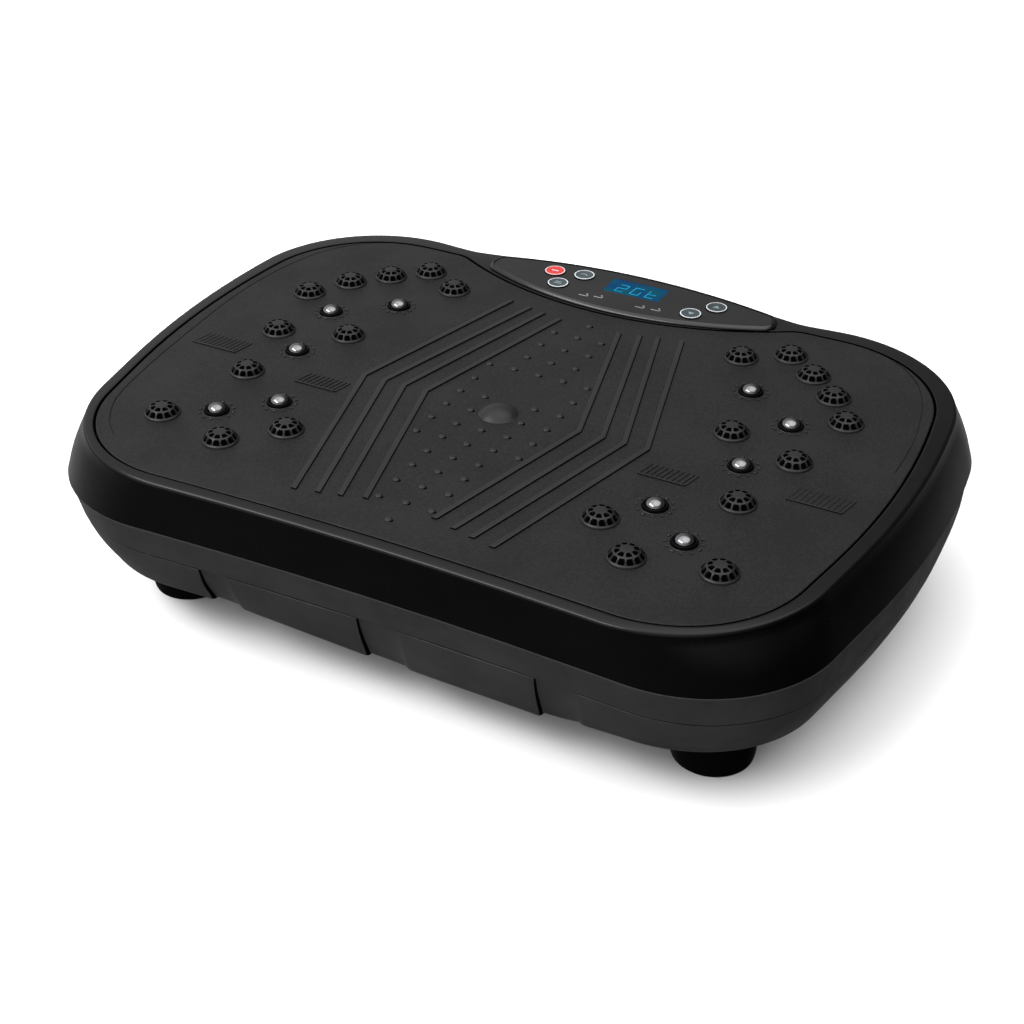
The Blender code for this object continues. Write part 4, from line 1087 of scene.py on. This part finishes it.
def make_inlet_details():
    """Contact pins in the socket, and the screws of the inlet panel."""
    middle_z = sum(INLET_Z) / 2
    floor_y = INLET_FACE_Y + SOCKET_RIM - SOCKET_DEPTH
    for name, dx, dz in PINS:
        bm = bmesh.new()
        plan = rounded_box((SOCKET_X + dx, middle_z + dz), (1.0, 2.0), 0.4, 3)
        tip = rounded_box((SOCKET_X + dx, middle_z + dz), (0.6, 1.5), 0.3, 3)
        loft(bm, [[(x, floor_y - 0.5, z) for x, z in plan],
                  [(x, floor_y + PIN_LENGTH - 0.8, z) for x, z in plan],
                  [(x, floor_y + PIN_LENGTH, z) for x, z in tip]])
        make_piece(f"socket_pin_{name}", bm, "platform", ["brass"])
    for x in INLET_SCREWS:
        bm = bmesh.new()
        screw(bm, (x, INLET_FACE_Y, middle_z), INLET_SCREW_RADIUS)
        make_piece(f"inlet_screw_{'left' if x < 0 else 'right'}", bm, "platform",
                   ["zinc"])


def screw(bm, place, radius):
    """The pan head of a screw that points along Y."""
    turned(bm, place, [(radius, -0.4), (radius, 0.3), (0.92 * radius, 0.75), (0.7 * radius, 1.1),
                       (0.35 * radius, 1.25), (0.1 * radius, 1.27)], 28, "Y")


# ---- stage, light and camera ----
def make_stage():
    bm = bmesh.new()
    prism(bm, rectangle((-FLOOR_HALF, -FLOOR_HALF), (FLOOR_HALF, FLOOR_HALF)), *FLOOR_Z)
    mesh = metre_mesh("studio_floor", bm)
    mesh.materials.append(surface("floor_white", (0.8, 0.8, 0.8), 0.9, specular=0.1,
                                  depth=0.0, mottle=0.002))
    floor = linked("studio_floor", mesh)
    floor.visible_glossy = False
    make_backdrop()


def make_backdrop():
    """A pale backdrop all round that only shows behind the object, and lights nothing."""
    bm = bmesh.new()
    bmesh.ops.create_uvsphere(bm, u_segments=48, v_segments=24, radius=BACKDROP_RADIUS)
    bmesh.ops.reverse_faces(bm, faces=bm.faces)
    mesh = bpy.data.meshes.new("studio_backdrop")
    bm.to_mesh(mesh)
    bm.free()
    mesh.shade_smooth()
    paint = surface("backdrop_white", (0.8, 0.8, 0.8), 0.9, specular=0.0, depth=0.0, mottle=0.002)
    shader = paint.node_tree.nodes["Principled BSDF"]
    shader.inputs["Emission Color"].default_value = (1.0, 1.0, 1.0, 1.0)
    shader.inputs["Emission Strength"].default_value = 1.0
    mesh.materials.append(paint)
    backdrop = linked("studio_backdrop", mesh)
    backdrop.visible_diffuse = False
    backdrop.visible_glossy = False
    backdrop.visible_transmission = False
    backdrop.visible_shadow = False


def area_light(name, place, aim, size, power):
    light = bpy.data.lights.new(name, "AREA")
    light.shape = "RECTANGLE"
    light.size, light.size_y = size
    light.energy = power
    lamp = linked(name, light)
    lamp.location = place
    direction = Vector(aim) - Vector(place)
    lamp.rotation_euler = direction.to_track_quat("-Z", "Y").to_euler()


def towards(tree, place, direction):
    """How nearly a world direction agrees with a fixed one."""
    facing = shader_node(tree, "ShaderNodeVectorMath", {1: direction},
                         {0: place.outputs["Generated"]})
    facing.operation = "DOT_PRODUCT"
    return facing.outputs["Value"]


def make_world():
    """A room that is bright overhead and at the front left, and dim below the horizon."""
    world = bpy.data.worlds.new("studio_room")
    bpy.context.scene.world = world
    world.use_nodes = True
    tree = world.node_tree
    place = tree.nodes.new("ShaderNodeTexCoord")
    height = shader_node(tree, "ShaderNodeSeparateXYZ", {},
                         {"Vector": place.outputs["Generated"]}).outputs["Z"]
    walls = mapped(tree, height, WALLS_RISE, (ROOM_LOW, ROOM_WALLS))
    side = mapped(tree, towards(tree, place, ROOM_BRIGHT_SIDE), SIDE_REACH, (ROOM_FAR, ROOM_NEAR))
    low = mapped(tree, height, FLOOR_FALL, (1.0, 0.0))
    beyond = mapped(tree, towards(tree, place, FLOOR_SIDE), FLOOR_REACH, (0.0, FLOOR_GLOW))
    glow = joined(tree, "MULTIPLY", low, beyond)
    ceiling = mapped(tree, height, CEILING_RISE, (0.0, ROOM_CEILING))
    lower = joined(tree, "ADD", joined(tree, "MULTIPLY", walls, side), glow)
    total = joined(tree, "ADD", lower, ceiling)
    tree.links.new(total, tree.nodes["Background"].inputs["Strength"])
    tree.nodes["Background"].inputs["Color"].default_value = (1.0, 1.0, 1.0, 1.0)


def make_lights():
    for name, settings in SOFTBOXES.items():
        area_light(name, *settings)


def make_camera():
    azimuth = math.radians(CAMERA_AZIMUTH)
    elevation = math.radians(CAMERA_ELEVATION)
    back = Vector((math.sin(azimuth) * math.cos(elevation),
                   -math.cos(azimuth) * math.cos(elevation), math.sin(elevation)))
    camera = bpy.data.cameras.new("studio_camera")
    camera.lens = CAMERA_LENS
    camera.sensor_width = CAMERA_SENSOR
    camera.clip_start = 0.01
    camera.clip_end = 100.0
    holder = linked("studio_camera", camera)
    holder.location = (Vector(CAMERA_TARGET) + back * CAMERA_DISTANCE) * MM
    holder.rotation_euler = (-back).to_track_quat("-Z", "Y").to_euler()
    bpy.context.scene.camera = holder
    bpy.context.scene.view_settings.view_transform = "Standard"


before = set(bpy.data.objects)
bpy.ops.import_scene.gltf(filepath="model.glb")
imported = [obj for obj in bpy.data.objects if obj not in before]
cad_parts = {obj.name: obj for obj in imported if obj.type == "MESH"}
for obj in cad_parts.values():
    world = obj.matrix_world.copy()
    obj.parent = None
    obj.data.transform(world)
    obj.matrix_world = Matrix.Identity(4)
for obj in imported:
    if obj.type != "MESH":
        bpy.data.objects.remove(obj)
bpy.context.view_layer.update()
make_finishes()
make_camera()
make_world()
make_lights()
make_stage()
make_upper_cover()
make_lower_cover()
make_mat()
make_ribs()
make_bumps()
make_domes()
make_studs()
make_patches()
make_panel()
make_display()
make_marks()
make_keys()
make_feet()
dress_kept_nodes(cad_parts)
make_inlet_details()
